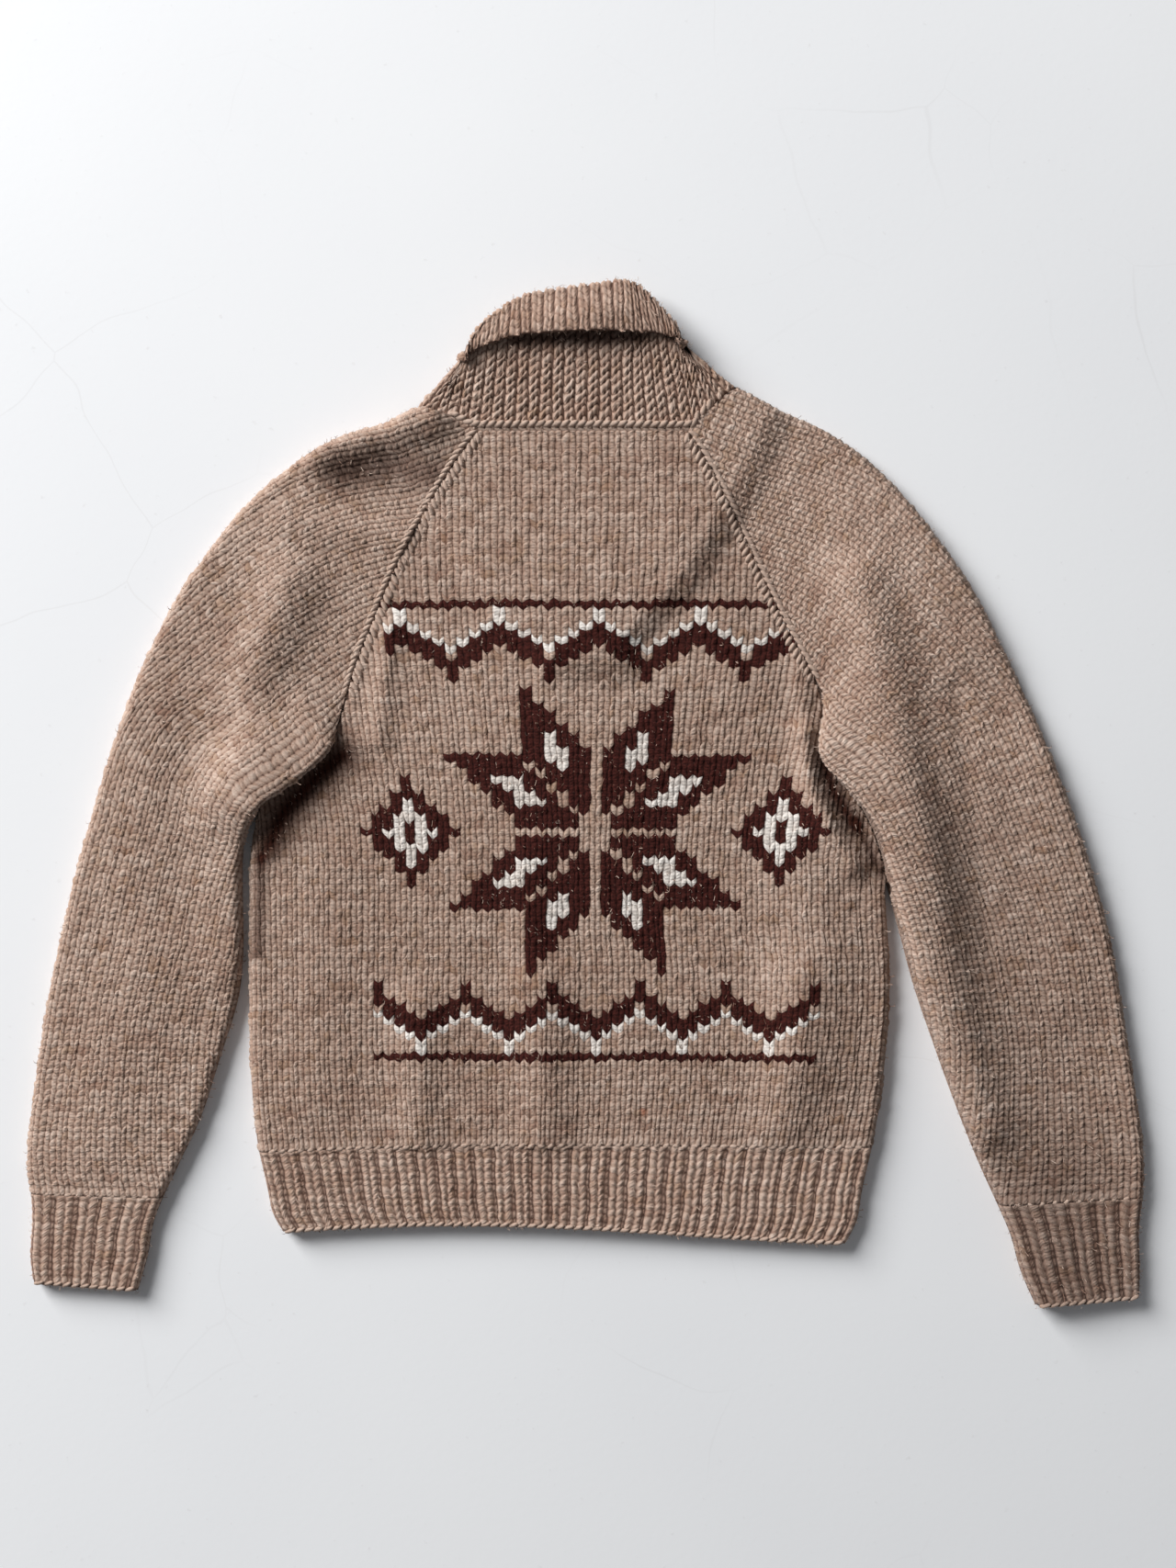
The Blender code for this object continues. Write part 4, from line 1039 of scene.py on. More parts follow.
def wool_finish(name, look):
    """Heathered two-ply wool. The stitch map gives the leg and course of every place."""
    material, bench, shader = new_finish(name)
    leg, course, _ = bench.parts(bench.out("ShaderNodeUVMap", {"uv_map": "stitch"}))
    place = bench.place()

    def attribute(label):
        return bench.out("ShaderNodeAttribute", {"attribute_name": label}, output="Fac")

    loft = attribute("loft")
    yarn = attribute("yarn")
    row = bench.floor(course + COURSE_EDGE)
    phase = bench.fract(course + COURSE_EDGE)
    across = bench.fract(leg) * 2.0 - 1.0
    hollow = 1.0 - across * across
    side = bench.floor(bench.fract(leg * 0.5) * 2.0) * 2.0 - 1.0

    # The tone changes along the yarn, which runs along a course.
    streak = bench.noise(bench.vector(leg * 0.23, row * 7.31, 0.4), 1.0, 3.0, 0.6)
    olive = bench.noise(bench.vector(leg * 0.31, row * 5.17, 9.4), 1.0, 2.0, 0.6)
    patch = bench.noise(place, 9.0, 2.0)
    fibre = bench.noise(place, 640.0, 3.0, 0.7)
    wisp = bench.noise(bench.vector(leg * 2.6 + course * side * 1.2, course * 3.1, 1.7), 1.0, 3.0, 0.65)

    ground = bench.out("ShaderNodeValToRGB", {"stops": (
        (0.30, colour(*look.ground_dark)), (0.46, colour(*look.ground)),
        (0.60, colour(*look.ground_light)), (0.74, colour(*look.ground_pale)))},
        {0: streak * 0.62 + patch * 0.2 + fibre * 0.18})
    ground = bench.blend(bench.step(olive, 0.54, 0.72) * 0.55, ground, colour(*look.fleck))
    ground = bench.blend(bench.step(wisp, 0.60, 0.80) * 0.45, ground, colour(*look.ground_dark))
    ground = bench.blend(bench.step(fibre, 0.56, 0.72) * 0.35, ground, colour(*look.ground_pale))
    ground = bench.blend(bench.step(fibre, 0.44, 0.28) * 0.45, ground, colour(*look.ground_dark))
    dark = bench.blend(bench.step(fibre, 0.35, 0.75), colour(*look.dark), colour(*look.dark_light))
    white = bench.blend(bench.step(streak, 0.3, 0.7), colour(*look.white_shade),
                        colour(*look.white))
    tone = bench.blend(bench.clamp(yarn), ground, dark)
    tone = bench.blend(bench.clamp(yarn - 1.0), tone, white)
    # Painted shade: the low flanks of the ground yarn take a warm, darker tint
    flank_shade_mask = (1.0 - bench.step(loft, 0.2, 0.95)) * (1.0 - bench.clamp(yarn))
    tone = bench.blend(flank_shade_mask * 0.4, tone, colour(*look.flank_shade), "MULTIPLY")
    # Painted shade: the colour darkens where the yarn lies low, in the grooves between legs and at the
    # holes between stitches
    depth = bench.step(loft, 0.0, 0.36)
    groove = bench.step(bench.maths("ABSOLUTE", across), 0.60, 0.97)
    between = bench.step(bench.maths("ABSOLUTE", phase * 2.0 - 1.0), 0.45, 0.95)
    hole_shade = groove * (0.3 + 0.7 * between) + (1.0 - groove) * bench.step(between, 0.6, 1.0) * 0.22
    shade = bench.maths("MAXIMUM", (1.0 - depth) * look.crevice_shade, hole_shade * look.crevice_shade)
    tone = bench.blend(shade, tone, colour(*look.crevice_shade_tint), "MULTIPLY")
    # Painted shade from the hollow attribute, in deep folds, under the fall and on cloth turned from the
    # light
    tone = bench.blend(attribute("hollow"), tone, colour(*look.crevice_shade_tint), "MULTIPLY")
    spot = bench.out("ShaderNodeVectorMath", {"operation": "DISTANCE"}, {0: place, 1: RUST_SPOT}, 1)
    tone = bench.blend(bench.step(spot + fibre * 4 * MM, 6.5 * MM, 3.0 * MM) * 0.55, tone,
                       colour(*look.rust))

    ply = bench.sine((course * 2.4 + side * across * 0.75) * math.tau)
    form = hollow * bench.sine(phase * math.pi)
    relief = hollow * 0.45 + form * 0.25 + ply * hollow * 0.14 + fibre * 0.5 + wisp * 0.4
    bump = bench.out("ShaderNodeBump", None,
                     {"Strength": 1.0, "Distance": look.bump_depth, "Height": relief})
    bench.fit(shader, {"Base Color": tone, "Normal": bump, "Roughness": 0.92,
                       "Specular IOR Level": 0.18, "Sheen Weight": look.sheen,
                       "Sheen Roughness": 0.5, "Sheen Tint": colour(*look.white)})
    return material


def fibre_finish(look):
    """Loose fibres that stand off the yarn."""
    material, bench, shader = new_finish("loose fibre")
    tone = bench.noise(bench.place(), 60.0, 1.0)
    shade = bench.blend(bench.step(tone, 0.35, 0.65), colour(*look.ground_dark),
                        colour(*look.ground_light))
    bench.fit(shader, {"Base Color": shade, "Roughness": 0.8, "Specular IOR Level": 0.2})
    return material


def zip_finish():
    """Dulled brass of the zip's teeth."""
    material, bench, shader = new_finish("dull brass")
    wear = bench.noise(bench.place(), 320.0, 3.0)
    tone = bench.blend(bench.step(wear, 0.4, 0.65), colour(150, 126, 78), colour(96, 80, 52))
    bench.fit(shader, {"Base Color": tone, "Roughness": wear * 0.3 + 0.25, "Metallic": 1.0})
    return material


def floor_finish(look):
    """Pale matt board with faint scuffs and hairlines."""
    material, bench, shader = new_finish("pale board")
    place = bench.place()
    cloud = bench.noise(place, 2.2, 3.0)
    speck = bench.noise(place, 160.0, 4.0)
    tone = bench.blend(bench.step(cloud, 0.3, 0.7) * 0.5, colour(*look.floor),
                       colour(*look.floor_shade))
    tone = bench.blend(bench.step(speck, 0.66, 0.8) * 0.35, tone, colour(*look.floor_scuff))
    warp = bench.out("ShaderNodeVectorMath", {"operation": "MULTIPLY_ADD"},
                     {0: bench.noise(place, 9.0, output="Color"), 1: (0.05, 0.05, 0.0), 2: place})
    cell = bench.out("ShaderNodeTexVoronoi", {"feature": "DISTANCE_TO_EDGE"},
                     {"Vector": warp, "Scale": 6.5})
    hair = bench.step(cell, 0.006, 0.001) * bench.step(cloud, 0.50, 0.62)
    tone = bench.blend(hair * 0.22, tone, colour(*look.floor_scuff))
    bump = bench.out("ShaderNodeBump", None,
                     {"Strength": 0.2, "Distance": 0.2 * MM, "Height": speck})
    bench.fit(shader, {"Base Color": tone, "Normal": bump, "Roughness": 0.7,
                       "Specular IOR Level": 0.25})
    return material


# ---------------------------------------------------------------- panels

def body_curves():
    """Outlines of the body's left and right edge from rib to neck, in metres."""
    left = [row[0:2] for row in BODY_SIDES] + [row[LEFT_SEAM] for row in ARMHOLE]
    right = [row[2:4] for row in BODY_SIDES] + [row[RIGHT_SEAM] for row in ARMHOLE]
    return curve_through(left) * MM, curve_through(right) * MM


def body_edges(y):
    """Left and right edge of the body and how far each is folded, at heights y."""
    left_x, right_x = (np.interp(y, curve[:, 1], curve[:, 0]) for curve in body_curves())
    folded = []
    for side, seam in ((slice(0, 2), LEFT_SEAM), (slice(2, 4), RIGHT_SEAM)):
        last, first = BODY_SIDES[-1][side][1] * MM, ARMHOLE[0][seam][1] * MM
        folded.append(1 - smooth((y - last) / (first - last)))
    left = np.stack([left_x + SEAM / 2 * (1 - folded[0]), y], axis=-1)
    right = np.stack([right_x - SEAM / 2 * (1 - folded[1]), y], axis=-1)
    return left, right, folded[0], folded[1]


BODY_BOTTOM = 0.5 * (HEM[0][1] + HEM[0][3]) * MM
BODY_TOP = ARMHOLE[-1][3] * MM - SEAM / 2


def hem_bow(height, share):
    """Rise of the bowed hem at a share of its width, from its height at the middle."""
    return height * np.sin(math.pi * np.clip(share, 0.0, 1.0)) * (1 - 0.8 * share)


def rib_line(share):
    """Height of the seam between back and rib, at a share of the width."""
    return (mix(HEM[0][1], HEM[0][3], share) + hem_bow(HEM[0][4], share)) * MM + SEAM / 2


def chart(wale, course):
    """Yarn of the stitch at a wale and course: a generic eight-pointed star between stepped bands."""
    across = wale - CHART_WALE
    up = (course - CHART_COURSE) * CHART_SQUARE
    far, near = np.maximum(np.abs(across), np.abs(up)), np.minimum(np.abs(across), np.abs(up))
    spread = far - near

    def petals(start, end):
        return (near > start) & (near < end) & (spread > start) & (spread < end)

    yarn = np.where(petals(STAR_GAP, STAR_PETAL), DARK_YARN, GROUND_YARN)
    yarn = np.where(petals(HEART_GAP, STAR_PETAL - HEART_SHORT), WHITE_YARN, yarn)
    # Stepped diamonds at both sides.
    diamond = np.abs(np.abs(across) - DIAMOND_PLACE) + np.abs(up) * DIAMOND_SQUASH
    for ring, colour_of_ring in zip(DIAMOND_RINGS, (DARK_YARN, WHITE_YARN, DARK_YARN)):
        yarn = np.where(diamond < ring, colour_of_ring, yarn)
    # Zigzag bands above and below.
    level = np.abs(up)
    half = ZIGZAG_WAVE / 2
    zigzag = ZIGZAG_LEVEL - np.abs((across + half) % ZIGZAG_WAVE - half) * ZIGZAG_SLOPE
    inside = (np.abs(across) < np.where(up > 0, *BAND_HALVES)) & (level < BAND_END)
    yarn = np.where(inside & (np.abs(level - zigzag) < 1.0), DARK_YARN, yarn)
    yarn = np.where(inside & (np.abs(level - zigzag - 1.5) < 0.5), WHITE_YARN, yarn)
    return np.where(inside & (level > BAND_LINE), DARK_YARN, yarn)


def length_property(name, description, value):
    """Setting in metres."""
    return bpy.props.FloatProperty(name=name, description=description, default=value,
                                   unit="LENGTH")


def share_property(name, description, value):
    """Setting between 0 and 1."""
    return bpy.props.FloatProperty(name=name, description=description, default=value, min=0.0,
                                   max=1.0, subtype="FACTOR")


def colour_property(name, description, value):
    """Colour setting as 0 to 255 screen values."""
    return bpy.props.IntVectorProperty(name=name, description=description, default=value, size=3,
                                       min=0, max=255)


class SWEATER_PG_knit(bpy.types.PropertyGroup):
    """Sizes of the knitting"""

    stitch_width: length_property("Stitch Width", "Width of one stitch", 8.3 * MM)
    row_height: length_property("Row Height", "Height of one course", 5.5 * MM)
    yarn_height: length_property(
        "Yarn Height", "How far the yarn stands out of its grooves", 2.7 * MM)
    proud: length_property("Proud", "How far the yarn stands over the face of the solids", 0.5 * MM)
    sleeve_height: length_property(
        "Sleeve Yarn Height", "How far the yarn stands out on the sleeves", 2.2 * MM)
    rib_height: length_property("Rib Height", "Height of the ribs at the hem", 1.9 * MM)
    cuff_height: length_property("Cuff Rib Height", "Height of the ribs at the cuffs", 1.4 * MM)
    unevenness: share_property("Unevenness", "How much one stitch differs from the next", 0.28)
    garter_height: length_property("Garter Height", "Height of a garter ridge", 2.9 * MM)
    garter_pitch: length_property(
        "Garter Pitch", "Distance from one garter ridge to the next", 9.1 * MM)
    garter_length: length_property(
        "Garter Length", "Length of one bump of a garter ridge", 6.8 * MM)
    fuzz: bpy.props.FloatProperty(
        name="Loose Fibres", description="Number of loose fibres on a square metre",
        default=24000.0, min=0.0)
    fibre_length: length_property("Fibre Length", "Length of the loose fibres", 5.5 * MM)


class SWEATER_PG_wool(bpy.types.PropertyGroup):
    """Colours of the yarn as screen values"""

    ground: colour_property("Heather", "Main tone of the heathered yarn", (182, 158, 143))
    ground_light: colour_property("Light Heather", "Lighter tone", (199, 178, 164))
    ground_pale: colour_property("Pale Heather", "Palest tone", (221, 205, 194))
    ground_dark: colour_property("Dark Heather", "Darkest tone", (144, 112, 96))
    # Painted shade on the low flanks of the yarn
    flank_shade: colour_property("Warm Shade", "Tint of the flanks of the yarn", (206, 172, 154))
    rust: colour_property("Rust Fleck", "Small stained place over the hem", (164, 88, 52))
    fleck: colour_property("Fleck", "Yellowish tone in the heather", (156, 124, 98))
    dark: colour_property("Dark Yarn", "Second yarn", (50, 15, 11))
    dark_light: colour_property("Dark Yarn Fibre", "Lighter fibres of the second yarn", (82, 34, 27))
    white: colour_property("White Yarn", "Third yarn", (240, 234, 228))
    white_shade: colour_property(
        "White Yarn Shade", "Shaded tone of the third yarn", (216, 206, 198))
    # Painted shade between the stitches and, through the hollow attribute, in deep folds
    crevice_shade_tint: colour_property("Crevice", "Tint between the stitches", (84, 46, 32))
    crevice_shade: share_property("Crevice Strength", "How dark the yarn is between the stitches", 0.75)
    sheen: share_property("Sheen", "Soft light on the fibres", 0.12)
    bump_depth: length_property("Fibre Depth", "Depth of the plies and fibres", 0.7 * MM)


class SWEATER_PG_stage(bpy.types.PropertyGroup):
    """Floor, light and camera"""

    floor: colour_property("Floor", "Colour of the floor", (241, 243, 246))
    floor_shade: colour_property("Floor Shade", "Second tone of the floor", (235, 237, 241))
    floor_scuff: colour_property("Floor Scuff", "Colour of the scuffs", (214, 213, 214))
    camera_height: length_property("Camera Height", "Height of the camera over the floor", 1.6664)
    key_power: bpy.props.FloatProperty(
        name="Key Light", description="Power of the main light in watts", default=650.0)
    fill: bpy.props.FloatProperty(
        name="Fill", description="Strength of the light from all round", default=0.155)


FINISHES = {}


def wool():
    """The wool of all the yarn, made on its first use."""
    if "wool" not in FINISHES:
        FINISHES["wool"] = wool_finish("heathered wool", bpy.context.scene.sweater_wool)
    return FINISHES["wool"]


def shared_tree(name, maker):
    """A tree by its name, made on its first use."""
    return bpy.data.node_groups.get(name) or maker()


def raise_yarn(name, sheet, turned=False, height=None, seed=7):
    """Piece of cloth from a sheet, with its yarn raised."""
    knit = bpy.context.scene.sweater_knit
    height = height or knit.yarn_height
    values = {"Yarn Height": height, "Sink": height - knit.proud, "Unevenness": knit.unevenness,
              "Seed": seed, "Material": wool()}
    tree = shared_tree("knitted relief", relief_tree)
    return run_tree(name, sheet.mesh(name + "_base", turned), tree, values)


def finish_cloth(piece, nodes, slot, flat, area):
    """Lets a piece of cloth ride on the root body and hides the solids that it replaces. Slot, flat and
    area are not used.
    """
    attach(piece, "root")
    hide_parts(*nodes)


def make_back():
    """The back, charted figures in its middle; its wales widen to the neck."""
    knit = bpy.context.scene.sweater_knit
    courses = round((BODY_TOP - BODY_BOTTOM) / knit.row_height)
    row_height = (BODY_TOP - BODY_BOTTOM) / courses

    def limits(level):
        left, right, fold_left, fold_right = body_edges(level)
        return (left[..., 0] + FOLD - quarter_length(fold_left) - BODY_MIDDLE,
                right[..., 0] - FOLD + quarter_length(fold_right) - BODY_MIDDLE)

    def level_of(course):
        return BODY_BOTTOM + np.clip(course, 0, courses) * row_height

    def limits_at(course):
        return limits(level_of(course))

    def width_at(course):
        level = level_of(course)
        low, high = limits(np.minimum(level, STRAIGHT_FROM))
        growth = 1 + WALE_GROWTH * smooth((level - GROWTH_FROM) / GROWTH_RUN)
        return (high - low) / BACK_WALES * growth

    def middle_at(course):
        low, high = limits(np.minimum(level_of(course), STRAIGHT_FROM))
        return 0.5 * (low + high)

    def point_at(across, course, inside=False):
        low, high = limits_at(course)
        level = level_of(course)
        share = np.clip((across - low) / (high - low), 0.0, 1.0)
        y = level + (1 - smooth(course / RIB_EASE)) * (rib_line(share) - BODY_BOTTOM)
        y = np.minimum(y, BODY_TOP)
        edge = smooth(np.minimum(across - low, high - across) / EDGE_CALM)
        end = smooth(np.minimum(course, courses - course) / 4)
        y = y + WAVER_UP * waver(across, y, 1) * edge * end
        across = across + WAVER_ASIDE * waver(across, y, 2) * edge
        left, right, fold_left, fold_right = body_edges(y)
        along = across + BODY_MIDDLE - left[..., 0] - FOLD + quarter_length(fold_left)
        return layer_point(left, right, fold_left, fold_right, along, inside=inside)

    sheet = Sheet(BODY_PAINTED_SHADE)
    outer = sheet.add(knit_surface(STOCKINETTE, BACK_REPEATS, courses, row_height, width_at, limits_at,
                                   point_at, origin_at=middle_at, ends=(0, END_FADE),
                                   joins=(JOIN_LENGTH / 2, 0)))
    place = pattern_columns(STOCKINETTE, *BACK_REPEATS)[0]
    wale = np.floor(place[:-1] + 0.01) + 0.5
    row = np.floor(np.arange(courses * CELLS) / CELLS + 0.01) + 0.5
    rows, wales = np.meshgrid(row, wale, indexing="ij")
    sheet.skin(outer, yarn=chart(wales, rows))
    course = np.arange(courses + 1)[:, None]
    inner = sheet.add(plain_surface(spaced(*limits_at(course)), course, width_at, 2,
                                    lambda a, c: point_at(a, c, inside=True)))
    sheet.skin(inner, turned=True)
    sheet.close(outer, inner)
    piece = raise_yarn("knitted_back", sheet)
    finish_cloth(piece, ["back"], "body_wool", (0.495, 0.549), 0.222)


def make_under(name, side, left, right, edge, folds, cell, place_stitches, finish):
    """Closed sheet on the floor side, plain on both faces, from a side fold to the zip."""
    still = np.zeros(len(left))
    a, b, fold_a, fold_b = ((left, edge, folds[0], still) if side < 0
                            else (edge, right, still, folds[1]))
    length = layer_length(a, b, fold_a, fold_b)[:, None]
    across = spaced(np.zeros_like(length), length, cell)
    a, b, fold_a, fold_b = (values[:, None] for values in (a, b, fold_a, fold_b))
    sheet = Sheet()

    def surface(inside):
        points = layer_point(a, b, fold_a, fold_b, across, upper=False, inside=inside)
        share = (points[..., 0] - left[:, None, 0]) / (right - left)[:, None, 0]
        return plain_fields(points, *place_stitches(points, share))

    outer = sheet.add(surface(False))
    inner = sheet.add(surface(True))
    sheet.skin(outer, turned=True)
    sheet.skin(inner)
    sheet.close(inner, outer)
    finish_cloth(raise_yarn(name, sheet), *finish)


def make_front(name, side):
    """A front lies under the back with its plain outer side on the floor."""
    knit = bpy.context.scene.sweater_knit
    count = round((BODY_TOP - BODY_BOTTOM) / knit.row_height) // CELLS * CELLS
    y = np.linspace(BODY_BOTTOM + SEAM / 2, BODY_TOP, count + 1)
    left, right, fold_left, fold_right = body_edges(y)
    neck = np.clip((y / MM - NECK_POINT) / (NECK_SHOULDER - NECK_POINT), 0.0, 1.0)
    edge_x = ZIP_X + side * (ZIP_WIDTH / 2 + SEAM + neck * NECK_REACH * MM)

    def place_stitches(points, share):
        course = (y[:, None] - BODY_BOTTOM) / knit.row_height
        drop = rib_line(share) - BODY_BOTTOM - SEAM / 2
        points[..., 1] += (1 - smooth(course / RIB_EASE)) * drop
        return course, points[..., 0] / knit.stitch_width * 2

    make_under("knitted_" + name, side, left, right, np.stack([edge_x, y], axis=-1),
               (fold_left, fold_right), 9 * MM, place_stitches,
               ([name], "body_wool", (0.248, 0.549), 0.105))


def make_hem_back():
    """The hem's back part, folded down at both sides."""
    knit = bpy.context.scene.sweater_knit
    table = curve_through(HEM[::-1]) * MM
    table[-1, [1, 3]] -= SEAM / 2
    run = run_along(0.5 * (table[:, 0:2] + table[:, 2:4]))
    courses = round(run[-1] / knit.row_height)
    row_height = run[-1] / courses

    def ends_at(course):
        at = np.clip(course, 0, courses) * row_height
        columns = [np.interp(at, run, table[:, column]) for column in range(5)]
        return np.stack(columns[0:2], -1), np.stack(columns[2:4], -1), columns[4]

    def limits_at(course):
        a, b, _ = ends_at(course)
        half = layer_length(a, b, 1.0, 1.0) / 2
        return -half, half

    def width_at(course):
        return 2 * limits_at(course)[1] / HEM_RIBS

    def point_at(across, course, inside=False):
        a, b, bow = ends_at(course)
        one = np.ones(course.shape)
        half = layer_length(a, b, 1.0, 1.0) / 2
        edge = smooth(np.minimum(across + half, half - across) / EDGE_CALM)
        across = across + HEM_WAVER * waver(across, a[..., 1], 5) * edge
        points = layer_point(a, b, one, one, across + half, inside=inside)
        share = np.clip((points[..., 0] - a[..., 0]) / (b[..., 0] - a[..., 0]), 0.0, 1.0)
        points[..., 1] += hem_bow(bow, share)
        return points

    sheet = Sheet()
    outer = sheet.add(knit_surface(RIB, HEM_REPEATS, courses, row_height, width_at, limits_at,
                                   point_at, seed=11, shift=RIB_SHIFT, wales=2,
                                   ends=(2 * END_FADE, 0), joins=(0, JOIN_LENGTH)))
    sheet.skin(outer)
    course = np.arange(courses + 1)[:, None]
    inner = sheet.add(plain_surface(spaced(*limits_at(course)), course, width_at, 3,
                                    lambda a, c: point_at(a, c, inside=True)))
    sheet.skin(inner, turned=True)
    sheet.close(outer, inner)
    piece = raise_yarn("knitted_hem_back", sheet, height=knit.rib_height, seed=12)
    finish_cloth(piece, ["back_hem_rib"], "rib_wool", (0.474, 0.068), None)


def make_hem_front(name, side):
    """The hem's front part lies under its back part."""
    rows = curve_through(HEM[::-1], 4) * MM
    count = len(rows)
    share_of_zip = (ZIP_X - rows[:, 0]) / (rows[:, 2] - rows[:, 0])
    edge = np.stack([np.full(count, ZIP_X + side * (ZIP_WIDTH / 2 + SEAM)),
                     mix(rows[:, 1], rows[:, 3], share_of_zip)], axis=-1)

    def place_stitches(points, share):
        points[..., 1] += hem_bow(rows[:, 4:5], share)
        return (points[..., 1] / bpy.context.scene.sweater_knit.row_height,
                points[..., 0] / UNDER_LEG)

    make_under("knitted_hem_" + name, side, rows[:, 0:2], rows[:, 2:4], edge,
               (np.ones(count), np.ones(count)), 7 * MM, place_stitches,
               (["front_hem_rib_" + name], "rib_wool", (0.233, 0.068), None))


def crossing(start, direction, line):
    """Distance from start along a direction to where it meets a line of points."""
    for a, b in zip(line, line[1:]):
        system = np.array([direction, a - b]).T
        if abs(np.linalg.det(system)) < 1e-9:
            continue
        distance, share = np.linalg.solve(system, a - start)
        if -1e-6 <= share <= 1 + 1e-6:
            return distance
    return 0.0


class SleevePath:
    """Sections of a sleeve from cuff to neck, read at any course."""

    def __init__(self, lower, outer_columns, seam_columns, rolls, row_height):
        rolls, overs, shares_below = rolls
        rows = []
        for number, row in enumerate(lower):
            below = len(lower) - 1 - number
            fade = shares_below[below] if below < len(shares_below) else 0.0
            rows.append((*row, 1.0, fade, overs[0] * fade, 0.0 if below else LEAD_BELOW))
        for row, roll, over, lead in zip(ARMHOLE, rolls, overs, OUTER_LEAD):
            rows.append((*row[outer_columns], *row[seam_columns], 0.0, roll, over, lead))
        dense = curve_through(rows)
        dense[:, :4] *= MM
        dense[:, 4] = smooth(dense[:, 4])
        dense[:, 5:7] = np.clip(dense[:, 5:7], 0.0, 1.0)
        corner = np.array(ARMHOLE[-1][outer_columns]) * MM
        neck = np.array(ARMHOLE[-1][seam_columns]) * MM
        outline = np.vstack([dense[:, 0:2], corner])
        arc = run_along(outline)
        for axis in (0, 1):
            dense[:, axis] = np.interp(arc[:-1] + dense[:, 7] * MM, arc, outline[:, axis])
        dense = dense[:, :7]
        last = len(dense) - 1
        run = run_along(0.5 * (dense[:, 0:2] + dense[:, 2:4]))
        outer, inner = dense[-1, 0:2], dense[-1, 2:4]
        self.corner, self.neck = corner, neck
        forward = (corner - outer) / np.linalg.norm(corner - outer)
        across = (inner - outer) / np.linalg.norm(inner - outer)
        reach, _ = np.linalg.solve(np.array([forward, across]).T, neck - outer)
        raglan = np.array([row[seam_columns] for row in ARMHOLE[PARALLEL_FROM:]]) * MM
        square = abs(forward[0] * across[1] - forward[1] * across[0])
        more, clips = [], []
        for step in np.linspace(0.0, reach * TIP_SHARE, TIP_SECTIONS)[1:]:
            start = outer + forward * step
            width = crossing(start, across, raglan)
            cut = crossing(start, across, np.array([corner, neck]))
            past = step > np.linalg.norm(corner - outer)
            more.append((*start, *(start + across * width), 0.0, 0.0, 0.0))
            clips.append(cut if past else 0.0)
            run = np.append(run, run[last] + step * square)
        self.table = np.vstack([dense, more])
        self.clip = np.concatenate([np.zeros(len(dense)), clips])
        self.corner_run = run[last] + np.linalg.norm(corner - outer) * square
        self.run = run
        self.drift = self.wale_drift(len(lower) - 1, last // (len(rows) - 1))
        self.courses = round(run[-1] / row_height)
        self.row_height = run[-1] / self.courses

    def wale_drift(self, last_lower, steps):
        """How far the wales have slid in from under the outer fold, at each section."""
        width = np.linalg.norm(self.table[:, 0:2] - self.table[:, 2:4], axis=1)
        first, parallel = last_lower * steps, (last_lower + 1 + WALE_DRIFT[0][0]) * steps
        grown = np.maximum.accumulate(width[first:parallel + 1] - width[first])
        rate = np.zeros(len(self.run))
        for section, drift in WALE_DRIFT:
            rate[(last_lower + 1 + section) * steps:] = drift
        drift = np.concatenate([[0.0], np.cumsum(np.diff(self.run) * rate[:-1])])
        drift[first:parallel + 1] += grown
        drift[parallel + 1:] += grown[-1]
        return drift

    def origin_at(self, course):
        return np.interp(np.clip(course, 0, self.courses) * self.row_height, self.run, self.drift)

    def at(self, course):
        """Outer edge, inner edge, fold and roll of the inner edge, and cut by the neck."""
        place = np.clip(course, 0, self.courses) * self.row_height
        columns = [np.interp(place, self.run, self.table[:, number]) for number in range(7)]
        outer = np.stack(columns[0:2], axis=-1)
        inner = np.stack(columns[2:4], axis=-1)
        toward = outer - inner
        toward = toward / np.maximum(np.linalg.norm(toward, axis=-1), 1e-9)[..., None]
        inner = inner + toward * (SEAM * (1 - columns[4]))[..., None]
        return outer, inner, columns[4], columns[5:7], np.interp(place, self.run, self.clip)

    def past_corner(self, course):
        return course * self.row_height > self.corner_run


FLOOR_START = QUARTER * FOLD + 8 * MM   # the plain floor side of a sleeve starts here


